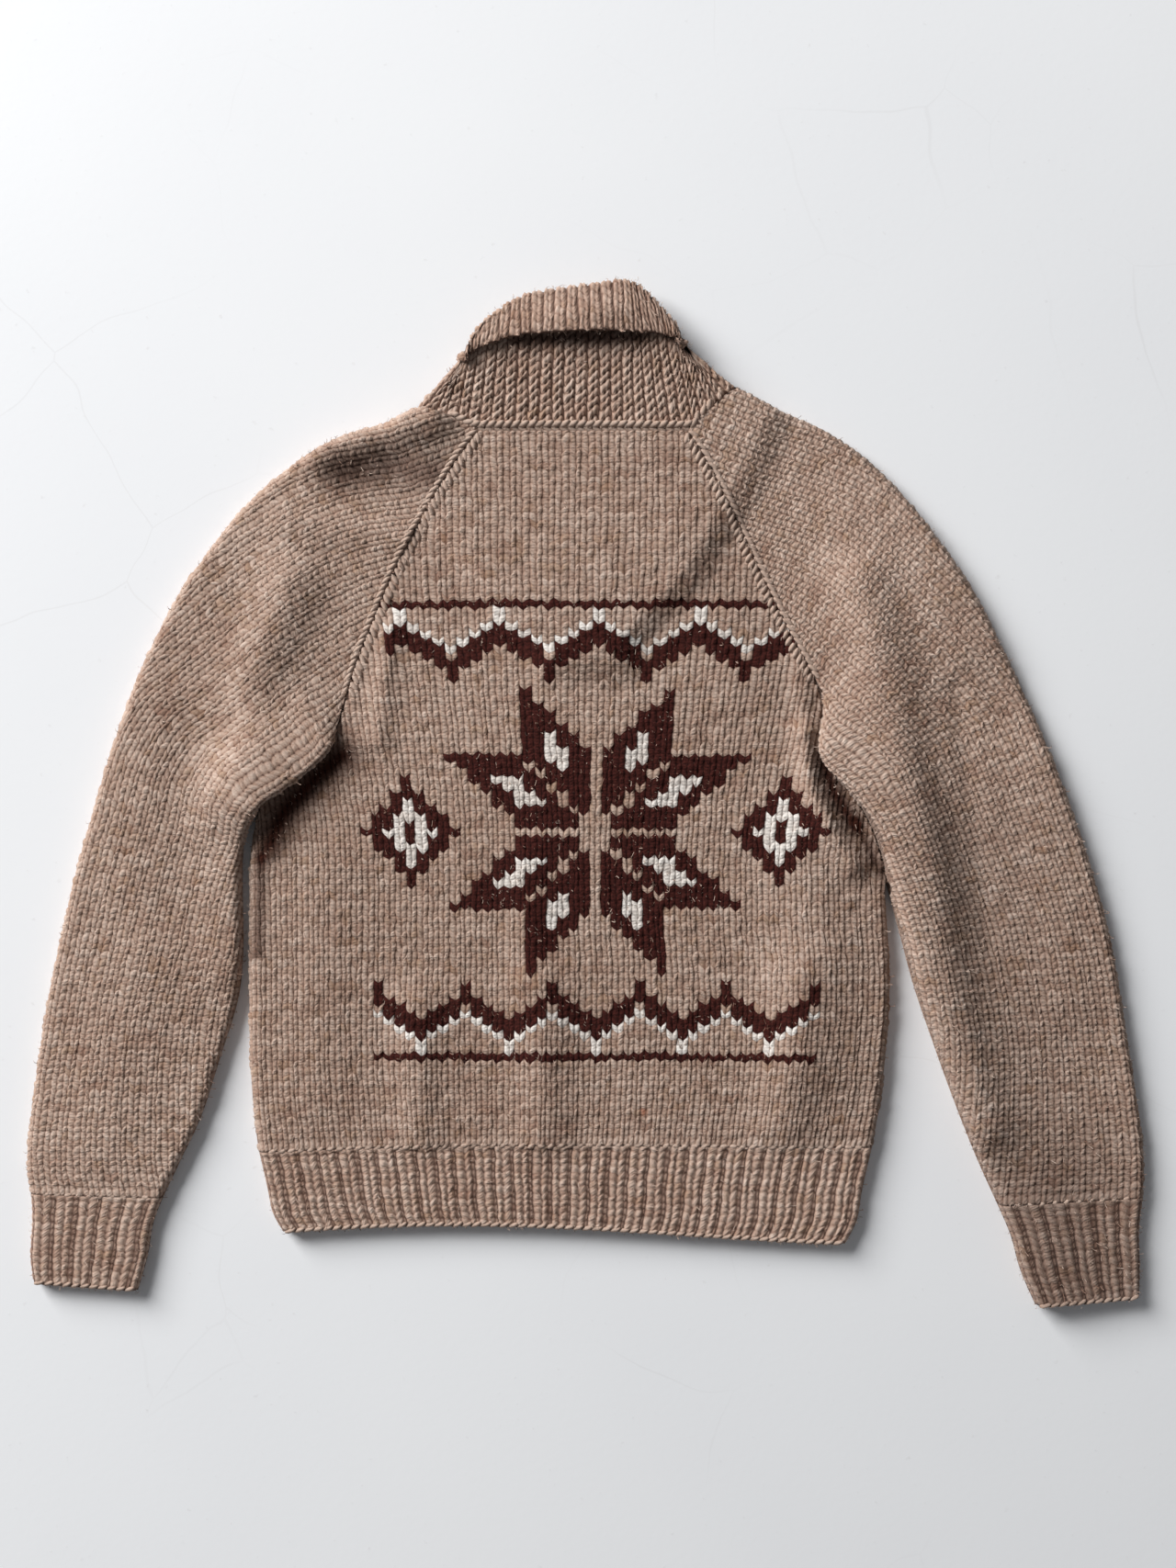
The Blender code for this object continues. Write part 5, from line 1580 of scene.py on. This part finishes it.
def tube_sheet(path, pattern, width_at, legs, seed, ends, joins, shift=0.0, wales=1,
               calm_waver=1.0, painted_shades=()):
    """Closed sheet of a laid tube: knitted on top and round its outer fold, plain below."""
    courses = path.courses

    def lengths(course):
        outer, inner, folded, _, _ = path.at(course)
        one = np.ones(np.shape(folded))
        return layer_length(inner, outer, folded, one)

    def limits_at(course):
        low = np.where(path.past_corner(course), path.at(course)[4], -QUARTER * FOLD)
        return low, np.maximum(lengths(course), low)

    def point_at(across, course, inside=False):
        outer, inner, folded, roll, _ = path.at(course)
        one = np.ones(folded.shape)
        length = layer_length(inner, outer, folded, one)
        edge = smooth(np.minimum(across + TUBE_CALM_FROM, length - across) / TUBE_CALM)
        wander = waver(across, course * path.row_height, seed)
        across = across + WAVER_ASIDE * calm_waver * wander * edge
        along = length - np.abs(across)
        above = layer_point(inner, outer, folded, one, along, True, inside, roll, False, SLEEVE_FOLDS)
        below = layer_point(inner, outer, folded, one, along, False, inside, seam_b=False)
        return np.where((across >= 0)[..., None], above, below)

    sheet = Sheet(painted_shades)
    course = (np.arange(courses * CELLS + 1) / CELLS)[:, None]
    low, high = limits_at(course)
    origin = path.origin_at(course)
    first = math.floor(np.min((low - origin) / width_at(course))) - 1
    last = math.ceil(np.max((high - origin) / width_at(course))) + 2
    top = knit_surface(pattern, (first, last), courses, path.row_height, width_at, limits_at,
                       point_at, seed, path.origin_at, shift, wales, ends, joins)
    clip = path.at(course)[4]
    floor_end = -np.maximum(clip, FLOOR_START)
    floor_start = -np.maximum(high, FLOOR_START)
    floor = plain_surface(spaced(floor_start, floor_end), course, width_at, legs, point_at)
    arc = np.where(path.past_corner(course), clip,
                   -QUARTER * FOLD + np.linspace(0, 2, 5)[None, :-1] * QUARTER * FOLD)
    rest = spaced(np.maximum(clip, QUARTER * FOLD), np.maximum(high, QUARTER * FOLD))
    across = np.clip(np.hstack([arc, rest]), low, high)

    def inner_point(across, course):
        return point_at(across, course, inside=True)

    inside_top = plain_surface(across, course, width_at, legs, inner_point)
    inside_floor = plain_surface(spaced(floor_start, floor_end), course, width_at, legs, inner_point)
    numbers = [sheet.add(part) for part in (floor, top, inside_floor, inside_top)]
    floor_n, top_n, in_floor_n, in_top_n = numbers
    corner = int(np.searchsorted(course[:, 0] * path.row_height, path.corner_run))
    corner = min(corner, len(course) - 1)
    sheet.skin(floor_n)
    sheet.skin(top_n)
    sheet.skin(np.stack([floor_n[:corner + 1, -1], top_n[:corner + 1, 0]], axis=1))
    sheet.skin(in_floor_n, turned=True)
    sheet.skin(in_top_n, turned=True)
    sheet.skin(np.stack([in_floor_n[:corner + 1, -1], in_top_n[:corner + 1, 0]], axis=1),
               turned=True)
    sheet.rim(floor_n[:, 0], in_floor_n[:, 0])
    sheet.rim(top_n[::-1, -1], in_top_n[::-1, -1])
    outer_start = np.concatenate([floor_n[0], top_n[0]])
    inner_start = np.concatenate([in_floor_n[0], in_top_n[0]])
    sheet.rim(outer_start[::-1], inner_start[::-1])
    if corner < len(course) - 1:
        sheet.rim(floor_n[-1], in_floor_n[-1])
        sheet.rim(top_n[-1], in_top_n[-1])
        sheet.rim(floor_n[corner:, -1][::-1], in_floor_n[corner:, -1][::-1])
        sheet.rim(top_n[corner:, 0], in_top_n[corner:, 0])
        sheet.rim([floor_n[corner, -1], top_n[corner, 0]],
                  [in_floor_n[corner, -1], in_top_n[corner, 0]])
    else:
        sheet.rim(np.concatenate([floor_n[-1], top_n[-1]]),
                  np.concatenate([in_floor_n[-1], in_top_n[-1]]))
    return sheet


def make_sleeve(name, lower, outer_columns, seam_columns, rolls, turned, seed):
    """A sleeve from cuff to neck; turned says that its outline runs clockwise."""
    knit = bpy.context.scene.sweater_knit
    path = SleevePath(lower, outer_columns, seam_columns, rolls, knit.row_height)
    outer, inner, folded = path.at(np.array(0.0))[:3]
    narrow = layer_length(inner, outer, folded, 1.0) / (2 * CUFF_RIBS)

    def width_at(course):
        return mix(narrow, knit.stitch_width, smooth(np.asarray(course) / CUFF_EASE))

    sheet = tube_sheet(path, SLEEVE_KNIT, width_at, 2, seed, (0, END_FADE), (JOIN_LENGTH / 2, 0),
                       painted_shades=SLEEVE_PAINTED_SHADE)
    piece = raise_yarn("knitted_" + name, sheet, turned, knit.sleeve_height, seed)
    finish_cloth(piece, [name], "body_wool", (0.270, 0.700), 0.160)


class CuffPath:
    """Sections of a cuff from its lower edge up."""

    def __init__(self, rows, row_height):
        table = curve_through(rows[::-1]) * MM
        table[-1, [1, 3]] -= SEAM / 2
        self.table = table
        self.run = run_along(0.5 * (table[:, 0:2] + table[:, 2:4]))
        self.courses = round(self.run[-1] / row_height)
        self.row_height = self.run[-1] / self.courses
        self.corner_run = 2 * self.run[-1]

    def origin_at(self, course):
        return np.zeros(np.shape(course))

    def at(self, course):
        place = np.clip(course, 0, self.courses) * self.row_height
        columns = [np.interp(place, self.run, self.table[:, number]) for number in range(4)]
        one = np.ones(np.shape(columns[0]))
        still = (0 * one, 0 * one)
        return np.stack(columns[0:2], -1), np.stack(columns[2:4], -1), one, still, 0 * one

    def past_corner(self, course):
        return np.zeros(np.shape(course), bool)


def make_cuff(name, rows, turned, seed):
    """A cuff; turned says that its outline runs clockwise."""
    knit = bpy.context.scene.sweater_knit
    path = CuffPath(rows, knit.row_height)

    def width_at(course):
        outer, inner, one, _, _ = path.at(course)
        return layer_length(inner, outer, one, one) / CUFF_RIBS

    sheet = tube_sheet(path, RIB, width_at, 3, seed, (2 * END_FADE, 0), (0, JOIN_LENGTH), RIB_SHIFT,
                       2, CUFF_WAVER, SLEEVE_PAINTED_SHADE)
    piece = raise_yarn("knitted_" + name, sheet, turned, height=knit.cuff_height, seed=seed)
    finish_cloth(piece, [name], "rib_wool", (0.205, 0.074), None)


# ---------------------------------------------------------------- collar

def collar_stations():
    """Stations along the band: their seam, roll and fall edge (x, y), normals, and run."""
    up = np.array((0.0, 0.0, 1.0))

    def fold(outer_columns, seam_columns, shape):
        away = np.array(ARMHOLE[-1][outer_columns]) * MM
        near = np.array(ARMHOLE[-1][seam_columns]) * MM
        side = (away - near) / np.linalg.norm(away - near)
        return np.concatenate([away - side * FOLD, np.array(shape) * MM]), side

    left_row, left_side = fold(LEFT_OUTER, LEFT_SEAM, COLLAR_LEFT_FOLD)
    right_row, right_side = fold(RIGHT_OUTER, RIGHT_SEAM, COLLAR_RIGHT_FOLD)

    def front(side, fold_row):
        rows = np.array(COLLAR_FRONT) * MM
        clear = SEAM / 2 + ZIP_WIDTH / 2
        rows[:, 0::2] = ZIP_X + side * (rows[:, 0::2] + clear)
        return curve_through(np.vstack([rows, fold_row[None]]), COLLAR_STEPS)

    def turn(row, side, start):
        angles = np.radians(np.linspace(start, -start, TURN_STATIONS))
        flat = np.append(side, 0.0)
        return [(row, flat * math.cos(a) + up * math.sin(a)) for a in angles]

    stations = [(row, -up) for row in front(-1, left_row)[:-1]]
    stations += turn(left_row, left_side, -90)
    back = curve_through(np.vstack([left_row[None], np.array(COLLAR_BACK) * MM, right_row[None]]),
                         COLLAR_STEPS)
    stations += [(row, up) for row in back[1:-1]]
    stations += turn(right_row, right_side, 90)
    stations += [(row, -up) for row in front(1, right_row)[::-1][1:]]
    rows = np.array([row for row, _ in stations])
    normals = np.array([normal for _, normal in stations])
    surface = np.column_stack([rows[:, 0:2], np.zeros(len(rows))]) + normals * FOLD
    return rows, normals, run_along(surface)


def make_collar():
    """One garter band that stands up from the neck seam, rolls over and falls back."""
    knit = bpy.context.scene.sweater_knit
    rows, normals, run = collar_stations()
    pitch = run[-1] / round(run[-1] / knit.garter_pitch)
    ridges = round(run[-1] / pitch)
    columns = pattern_columns(GARTER, 0, ridges)
    columns = np.column_stack([columns, columns[:, 0] + (ridges, 0.0, 0.0, 2 * ridges, 0.0)])
    place, yarn, lean, leg, valley = columns
    stand_mid = FOLD - WALL / 2
    fall_mid = FOLD + COLLAR_GAP + WALL / 2
    roll_mid = (fall_mid - stand_mid) / 2
    roll_length = math.pi * (roll_mid + WALL / 2)

    at = place * pitch
    table = read_along(at, run, rows)
    normal = read_along(at, run, normals)
    normal /= np.linalg.norm(normal, axis=-1)[:, None]
    flat = np.zeros(len(at))
    seam, roll, edge = (np.column_stack([table[:, k:k + 2], flat]) for k in (0, 2, 4))
    # Where the band turns round a shoulder it is drawn in.
    inward = TURN_IN * (1 - np.abs(normal[:, 2:3])) * normal * (-1.0, -1.0, 0.0)
    roll, edge = roll + inward, edge + inward
    rise = roll - seam
    stand = np.linalg.norm(rise, axis=-1)
    rise = rise / stand[:, None]
    seam = seam + rise * SEAM
    stand = stand - SEAM
    fall = np.linalg.norm(edge - roll, axis=-1)
    # The fall stands off the stand in the middle of the back.
    lift = FALL_LIFT * np.exp(-((table[:, 4] - FALL_MIDDLE) / FALL_SPREAD) ** 2)
    lift = lift * (normal[:, 2] > 0.9)

    def point_at(path, far):
        """Points at a distance up the band: stand, over the roll and down the fall."""
        stand_share = np.clip(path / stand, 0.0, 1.0)[..., None]
        angle = np.clip((path - stand) / roll_length, 0.0, 1.0)[..., None] * math.pi
        fall_share = np.clip((path - stand - roll_length) / fall, 0.0, 1.0)[..., None]
        base = seam + (roll - seam) * stand_share + (edge - roll) * fall_share
        centre = base + np.array((0.0, 0.0, COLLAR_AXIS)) + normal * (stand_mid + roll_mid)
        spoke = rise * np.sin(angle) - normal * np.cos(angle)
        radius = roll_mid + (WALL / 2 if far else -WALL / 2)
        raised = lift[..., None] * smooth(fall_share * 1.2 + 0.15 * (angle > 2.0))
        return centre + spoke * radius + normal * raised

    total = stand + roll_length + fall
    courses = math.ceil(np.max(total) / knit.garter_length)
    course = (np.arange(courses * CELLS + 1) / CELLS)[:, None]
    low_end = smooth(course * knit.garter_length / END_FADE)
    high_end = smooth((total[None, :] - course * knit.garter_length) / END_FADE)
    calm = low_end * high_end
    chance = stitch_chance(leg * np.ones_like(calm), course * np.ones_like(calm), 33)
    aside = stitch_chance(leg + 0.5 * course, course * 0.8, 34) * calm * COLLAR_ASIDE
    uneven = course + (lean[None, :] + JITTER_UP * chance) * calm
    path = np.clip(uneven * knit.garter_length, 0.0, total[None, :])
    shown_far = smooth((path - stand) / (6 * MM))
    shown_near = 1 - smooth((path - stand + 30 * MM) / (10 * MM))

    def surface(far):
        shown = shown_far if far else shown_near
        points = point_at(path, far) + np.cross(rise, normal) * aside[..., None]
        whole = np.ones_like(path)
        fall_share = smooth((path - stand - roll_length * 0.5) / (8 * MM))
        facing = smooth(np.abs(normal[:, 2]) * 2)
        eased = calm * mix(1.0, FALL_EASE, fall_share) * mix(TURN_EASE, 1.0, facing)
        reach = shown * smooth((points[..., 2] - RELIEF_FROM) / RELIEF_RUN)
        return {"points": points, "crest": yarn * whole, "knit": eased, "reach": reach,
                "valley": mix(valley, FALL_VALLEY, fall_share), "course": course * whole,
                "leg": leg * whole}

    sheet = Sheet(COLLAR_PAINTED_SHADE, COLLAR_PAINTED_SHADE_TOP)
    far = sheet.add(surface(True))
    near = sheet.add(surface(False))
    sheet.skin(far, turned=True)
    sheet.skin(near)
    sheet.close(near, far)
    piece = raise_yarn("knitted_collar", sheet, height=knit.garter_height, seed=21)
    finish_cloth(piece, ["collar"], "rib_wool", (0.60, 0.150), 0.075)


# ---------------------------------------------------------------- seam chains

def point_cloud(places, ups, alongs):
    """Mesh of loose points with the directions that the trees of stitches and fibres read."""
    mesh = bpy.data.meshes.new("stitches")
    mesh.from_pydata(places.tolist(), [], [])
    for name, values in (("up", ups), ("along", alongs), ("aside", np.cross(alongs, ups))):
        layer = mesh.attributes.new(name, "FLOAT_VECTOR", "POINT")
        layer.data.foreach_set("vector", values.astype(np.float32).ravel())
    return mesh


def make_stitches(name, mesh, stitch, seed, slot="body_wool", lean=1.0, unevenness=0.12,
                  spread=0.0):
    """A stitch at each point: one strand, or two legs that spread parts."""
    width, length, thickness, own_lean = stitch[:4]
    values = {"Width": width * MM, "Length": length * MM, "Thickness": thickness * MM,
              "Lean": lean * own_lean, "Unevenness": unevenness, "Single": spread == 0.0,
              "Spread": spread, "Seed": seed, "Material": wool()}
    piece = run_tree(name, mesh, shared_tree("chain of stitches", chain_tree), values)
    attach(piece, "root")


def make_chain(name, lines, stitch, seed, **settings):
    """Stitches along lines, each given as its points and their upward directions."""
    spacing = stitch[1] * MM * stitch[4]
    places, ups, alongs = [], [], []
    for points, normals in lines:
        run = run_along(points)
        count = max(round(run[-1] / spacing), 1)
        at = (np.arange(count) + 0.5) * run[-1] / count
        ahead, behind = (read_along(at + step, run, points) for step in (spacing / 2, -spacing / 2))
        along = (ahead - behind) / np.linalg.norm(ahead - behind, axis=-1)[:, None]
        up = read_along(at, run, normals)
        up = up - along * np.sum(up * along, axis=-1)[:, None]
        places.append(read_along(at, run, points))
        ups.append(up / np.linalg.norm(up, axis=-1)[:, None])
        alongs.append(along)
    mesh = point_cloud(np.vstack(places), np.vstack(ups), np.vstack(alongs))
    make_stitches(name, mesh, stitch, seed, **settings)


def each(direction, points):
    """The same direction for every point."""
    return np.tile(direction, (len(points), 1))


def on_top(place, folds, sunk):
    """Points of a chain that lies on the upper layer, a little sunk into it."""
    x, y = place[:, 0], place[:, 1]
    return np.column_stack([place, lay(x, y) + top_height(x, y, folds) - sunk])


def raglan_line(side, start, offset, folds):
    """Line beside a raglan seam, offset towards the middle of the back."""
    y = np.linspace(start, BODY_TOP - 2 * MM, 120)
    left, right, _, _ = body_edges(y)
    seam = left if side < 0 else right
    step = np.gradient(seam, axis=0)
    step /= np.linalg.norm(step, axis=1)[:, None]
    inward = np.stack([-step[:, 1], step[:, 0]], axis=-1) * side
    points = on_top(seam + inward * offset, folds, RAGLAN_SUNK)
    return points, each(UPWARD, points)


def make_raglan_chains():
    """Decrease loops on the body side and one rope on the sleeve side of both raglan seams."""
    for name, side, start in RAGLAN_STARTS:
        loops = raglan_line(side, start, LOOPS_ASIDE, BODY_FOLDS)
        make_chain("raglan_loops_" + name, [loops], DECREASE_LOOPS, 31 + side, lean=-side)
        rope = raglan_line(side, start, ROPE_ASIDE, SLEEVE_FOLDS)
        make_chain("raglan_rope_" + name, [rope], SLEEVE_ROPE, 41 + side, lean=side)


def rib_edge(row, share, rise):
    """Places x and y along a row of HEM or of a cuff, moved up by a length."""
    left_x, left_y, right_x, right_y, bow = (*row, 0.0)[:5]
    y = (mix(left_y, right_y, share) + hem_bow(bow, share)) * MM + rise
    return np.column_stack([mix(left_x, right_x, share) * MM, y])


def make_edge_chains():
    """Cast-on chains along the lower edges of hem and cuffs."""
    lines = []
    for rows, margin, count, folds in ((HEM, 0.006, 160, BODY_FOLDS),
                                       (LEFT_CUFF, 0.03, 40, SLEEVE_FOLDS),
                                       (RIGHT_CUFF, 0.03, 40, SLEEVE_FOLDS)):
        share = np.linspace(margin, 1 - margin, count)
        points = on_top(rib_edge(rows[-1], share, CAST_ON_RISE), folds, CAST_ON_SUNK)
        lines.append((points, each(DOWNWARD_LEAN, points)))
    make_chain("cast_on_edge", lines, CAST_ON, 51, slot="rib_wool")


def make_joins():
    """Purl bumps at the tops of the grooves, where back and sleeves go over into their ribs."""
    places, alongs = [], []
    for rows, ribs, rise, folds in ((HEM, HEM_RIBS, SEAM / 2, BODY_FOLDS),
                                    (LEFT_CUFF, CUFF_RIBS, 0.0, SLEEVE_FOLDS),
                                    (RIGHT_CUFF, CUFF_RIBS, 0.0, SLEEVE_FOLDS)):
        share = (np.arange(1, 2 * ribs - 1) + 0.5) / (2 * ribs)
        place = rib_edge(rows[0], share, rise)
        across = place[-1] - place[0]
        across *= np.sign(across[0]) / np.linalg.norm(across)
        places.append(on_top(place, folds, JOIN_SUNK))
        alongs.append(each((*across, 0.0), place))
    places = np.vstack(places)
    mesh = point_cloud(places, each(UPWARD, places), np.vstack(alongs))
    make_stitches("join_stitches", mesh, JOIN_BUMP, 61, unevenness=0.45)


def make_neck_chain():
    """Chain along the base of the collar, over the neck and both shoulder corners."""
    line = curve_through(NECK_SEAM, 8) * MM
    points = np.column_stack([line, np.full(len(line), COLLAR_AXIS + NECK_RISE)])
    make_chain("neck_chain", [(points, each(NECK_LEAN, points))], NECK_CHAIN, 71, slot="rib_wool",
               spread=0.25)


def make_zip():
    """Closed row of teeth between the fronts, laid along the solid's own chain."""
    low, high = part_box("zip_chain")
    middle = 0.5 * (low[0] + high[0])
    count = round((high[1] - low[1]) / ZIP_PITCH)
    places = [(middle + (ZIP_ASIDE if tooth % 2 else -ZIP_ASIDE), low[1] + (tooth + 0.5) * ZIP_PITCH,
               0.5 * (low[2] + high[2])) for tooth in range(count)]
    mesh = bpy.data.meshes.new("teeth")
    mesh.from_pydata(places, [], [])
    tree = shared_tree("zip teeth", zip_tree)
    piece = run_tree("zip_teeth", mesh, tree, {
        "Width": ZIP_TOOTH, "Length": ZIP_PITCH * 0.8, "Height": high[2] - low[2],
        "Material": zip_finish()})
    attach(piece, "root")
    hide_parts("zip_chain")


def make_fuzz():
    """Loose fibres over all the cloth that faces up or out, densest along its outlines."""
    knit = bpy.context.scene.sweater_knit
    chance = np.random.default_rng(17)
    places, ups = [], []
    for piece in bpy.context.scene.objects:
        if not piece.name.startswith("knitted_"):
            continue
        faces = piece.data.polygons
        area, centre, normal = (np.zeros(len(faces) * size) for size in (1, 3, 3))
        for name, values in (("area", area), ("center", centre), ("normal", normal)):
            faces.foreach_get(name, values)
        centre, normal = centre.reshape(-1, 3), normal.reshape(-1, 3)
        height, upward = centre[:, 2], normal[:, 2]
        weight = area * (upward > -0.1) * (height > FUZZ_ABOVE) * (height < FUZZ_BELOW)
        weight = weight * (1 + FUZZ_AT_EDGES * (np.abs(upward) < FUZZ_STEEP))
        number = int(weight.sum() * knit.fuzz)
        if number:
            picked = chance.choice(len(faces), number, p=weight / weight.sum())
            scatter = chance.uniform(-1, 1, (number, 3)) * FUZZ_SCATTER
            places.append(centre[picked] + scatter - normal[picked] * FUZZ_ROOT)
            ups.append(normal[picked])
    places, ups = np.vstack(places), np.vstack(ups)
    values = {"Length": knit.fibre_length, "Slimness": FIBRE_SLIMNESS, "Curl": FIBRE_CURL,
              "Seed": 5, "Material": fibre_finish(bpy.context.scene.sweater_wool)}
    piece = run_tree("loose_fibres", point_cloud(places, ups, ups),
                     shared_tree("loose fibres", fuzz_tree), values)
    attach(piece, "root")


def make_seams():
    """All that is worked on top of the cloth."""
    make_raglan_chains()
    make_edge_chains()
    make_joins()
    make_neck_chain()
    make_zip()
    make_fuzz()


# ---------------------------------------------------------------- stage

def make_stage():
    """Floor, camera, one large window and an even light from all round."""
    look = bpy.context.scene.sweater_stage
    scene = bpy.context.scene
    bpy.ops.mesh.primitive_circle_add(vertices=96, radius=FLOOR_RADIUS, fill_type="TRIFAN")
    floor = bpy.context.object
    floor.name = "floor"
    floor.data.materials.append(floor_finish(look))
    camera = bpy.data.objects.new("camera", bpy.data.cameras.new("camera"))
    scene.collection.objects.link(camera)
    camera.data.lens = LENS_MM
    camera.data.sensor_width = SENSOR_MM
    camera.location = (*CAMERA_PLACE, look.camera_height)
    scene.camera = camera
    light = bpy.data.lights.new("window", "AREA")
    light.shape = "RECTANGLE"
    light.size = light.size_y = KEY_SIZE
    light.energy = look.key_power
    light.color = KEY_COLOUR
    window = bpy.data.objects.new("window", light)
    scene.collection.objects.link(window)
    window.location = KEY_PLACE
    window.rotation_euler = (-Vector(KEY_PLACE)).to_track_quat("-Z", "Y").to_euler()
    world = bpy.data.worlds.new("soft room")
    scene.world = world
    world.use_nodes = True
    background = world.node_tree.nodes["Background"]
    background.inputs["Color"].default_value = ROOM_COLOUR
    background.inputs["Strength"].default_value = look.fill
    scene.view_settings.view_transform = "Standard"


# ---------------------------------------------------------------- operators

class SweaterStep:
    """Shared by the operators: each makes one group of pieces."""

    bl_options = {"REGISTER", "UNDO"}

    def execute(self, context):
        self.make()
        return {"FINISHED"}


class SWEATER_OT_back(SweaterStep, bpy.types.Operator):
    """Knits the back with its patterned middle"""

    bl_idname = "sweater.back"
    bl_label = "Knit Back"

    def make(self):
        make_back()


class SWEATER_OT_fronts(SweaterStep, bpy.types.Operator):
    """Knits both fronts under the back"""

    bl_idname = "sweater.fronts"
    bl_label = "Knit Fronts"

    def make(self):
        make_front("front_left", -1)
        make_front("front_right", 1)


class SWEATER_OT_hem(SweaterStep, bpy.types.Operator):
    """Knits the ribbed hem"""

    bl_idname = "sweater.hem"
    bl_label = "Knit Hem"

    def make(self):
        make_hem_back()
        make_hem_front("left", -1)
        make_hem_front("right", 1)


class SWEATER_OT_sleeves(SweaterStep, bpy.types.Operator):
    """Knits both sleeves"""

    bl_idname = "sweater.sleeves"
    bl_label = "Knit Sleeves"

    def make(self):
        make_sleeve("sleeve_left", LEFT_SLEEVE, LEFT_OUTER, LEFT_SEAM,
                    (LEFT_ROLL, LEFT_OVER, LEFT_BELOW), False, 3)
        make_sleeve("sleeve_right", RIGHT_SLEEVE, RIGHT_OUTER, RIGHT_SEAM,
                    (RIGHT_ROLL, RIGHT_OVER, RIGHT_BELOW), True, 4)


class SWEATER_OT_cuffs(SweaterStep, bpy.types.Operator):
    """Knits both ribbed cuffs"""

    bl_idname = "sweater.cuffs"
    bl_label = "Knit Cuffs"

    def make(self):
        make_cuff("cuff_left", LEFT_CUFF, False, 5)
        make_cuff("cuff_right", RIGHT_CUFF, True, 6)


class SWEATER_OT_collar(SweaterStep, bpy.types.Operator):
    """Knits the folded garter collar"""

    bl_idname = "sweater.collar"
    bl_label = "Knit Collar"

    def make(self):
        make_collar()


class SWEATER_OT_seams(SweaterStep, bpy.types.Operator):
    """Works the chains of stitches along seams and edges"""

    bl_idname = "sweater.seams"
    bl_label = "Work Seams"

    def make(self):
        make_seams()


class SWEATER_OT_stage(SweaterStep, bpy.types.Operator):
    """Sets up the floor, light and camera"""

    bl_idname = "sweater.stage"
    bl_label = "Set Stage"

    def make(self):
        make_stage()


STEPS = (SWEATER_OT_back, SWEATER_OT_fronts, SWEATER_OT_hem, SWEATER_OT_sleeves, SWEATER_OT_cuffs,
         SWEATER_OT_collar, SWEATER_OT_seams, SWEATER_OT_stage)


class SWEATER_PT_panel(bpy.types.Panel):
    """Lists the steps and their settings"""

    bl_idname = "SWEATER_PT_panel"
    bl_label = "Sweater"
    bl_space_type = "VIEW_3D"
    bl_region_type = "UI"
    bl_category = "Sweater"

    def draw(self, context):
        """Draws all settings, then a button for each step."""
        layout = self.layout
        for settings in (context.scene.sweater_knit, context.scene.sweater_wool,
                         context.scene.sweater_stage):
            box = layout.box()
            for name in settings.__annotations__:
                box.prop(settings, name)
        for step in STEPS:
            layout.operator(step.bl_idname)


CLASSES = (SWEATER_PG_knit, SWEATER_PG_wool, SWEATER_PG_stage, *STEPS, SWEATER_PT_panel)


def register():
    """Registers the add-on's classes and its settings on the scene."""
    for item in CLASSES:
        bpy.utils.register_class(item)
    bpy.types.Scene.sweater_knit = bpy.props.PointerProperty(type=SWEATER_PG_knit)
    bpy.types.Scene.sweater_wool = bpy.props.PointerProperty(type=SWEATER_PG_wool)
    bpy.types.Scene.sweater_stage = bpy.props.PointerProperty(type=SWEATER_PG_stage)


def unregister():
    """Takes the add-on out again."""
    del bpy.types.Scene.sweater_knit
    del bpy.types.Scene.sweater_wool
    del bpy.types.Scene.sweater_stage
    for item in reversed(CLASSES):
        bpy.utils.unregister_class(item)


def main():
    """Runs all the steps in order."""
    register()
    for step in STEPS:
        group, name = step.bl_idname.split(".")
        getattr(getattr(bpy.ops, group), name)()


if __name__ == "__main__":
    main()
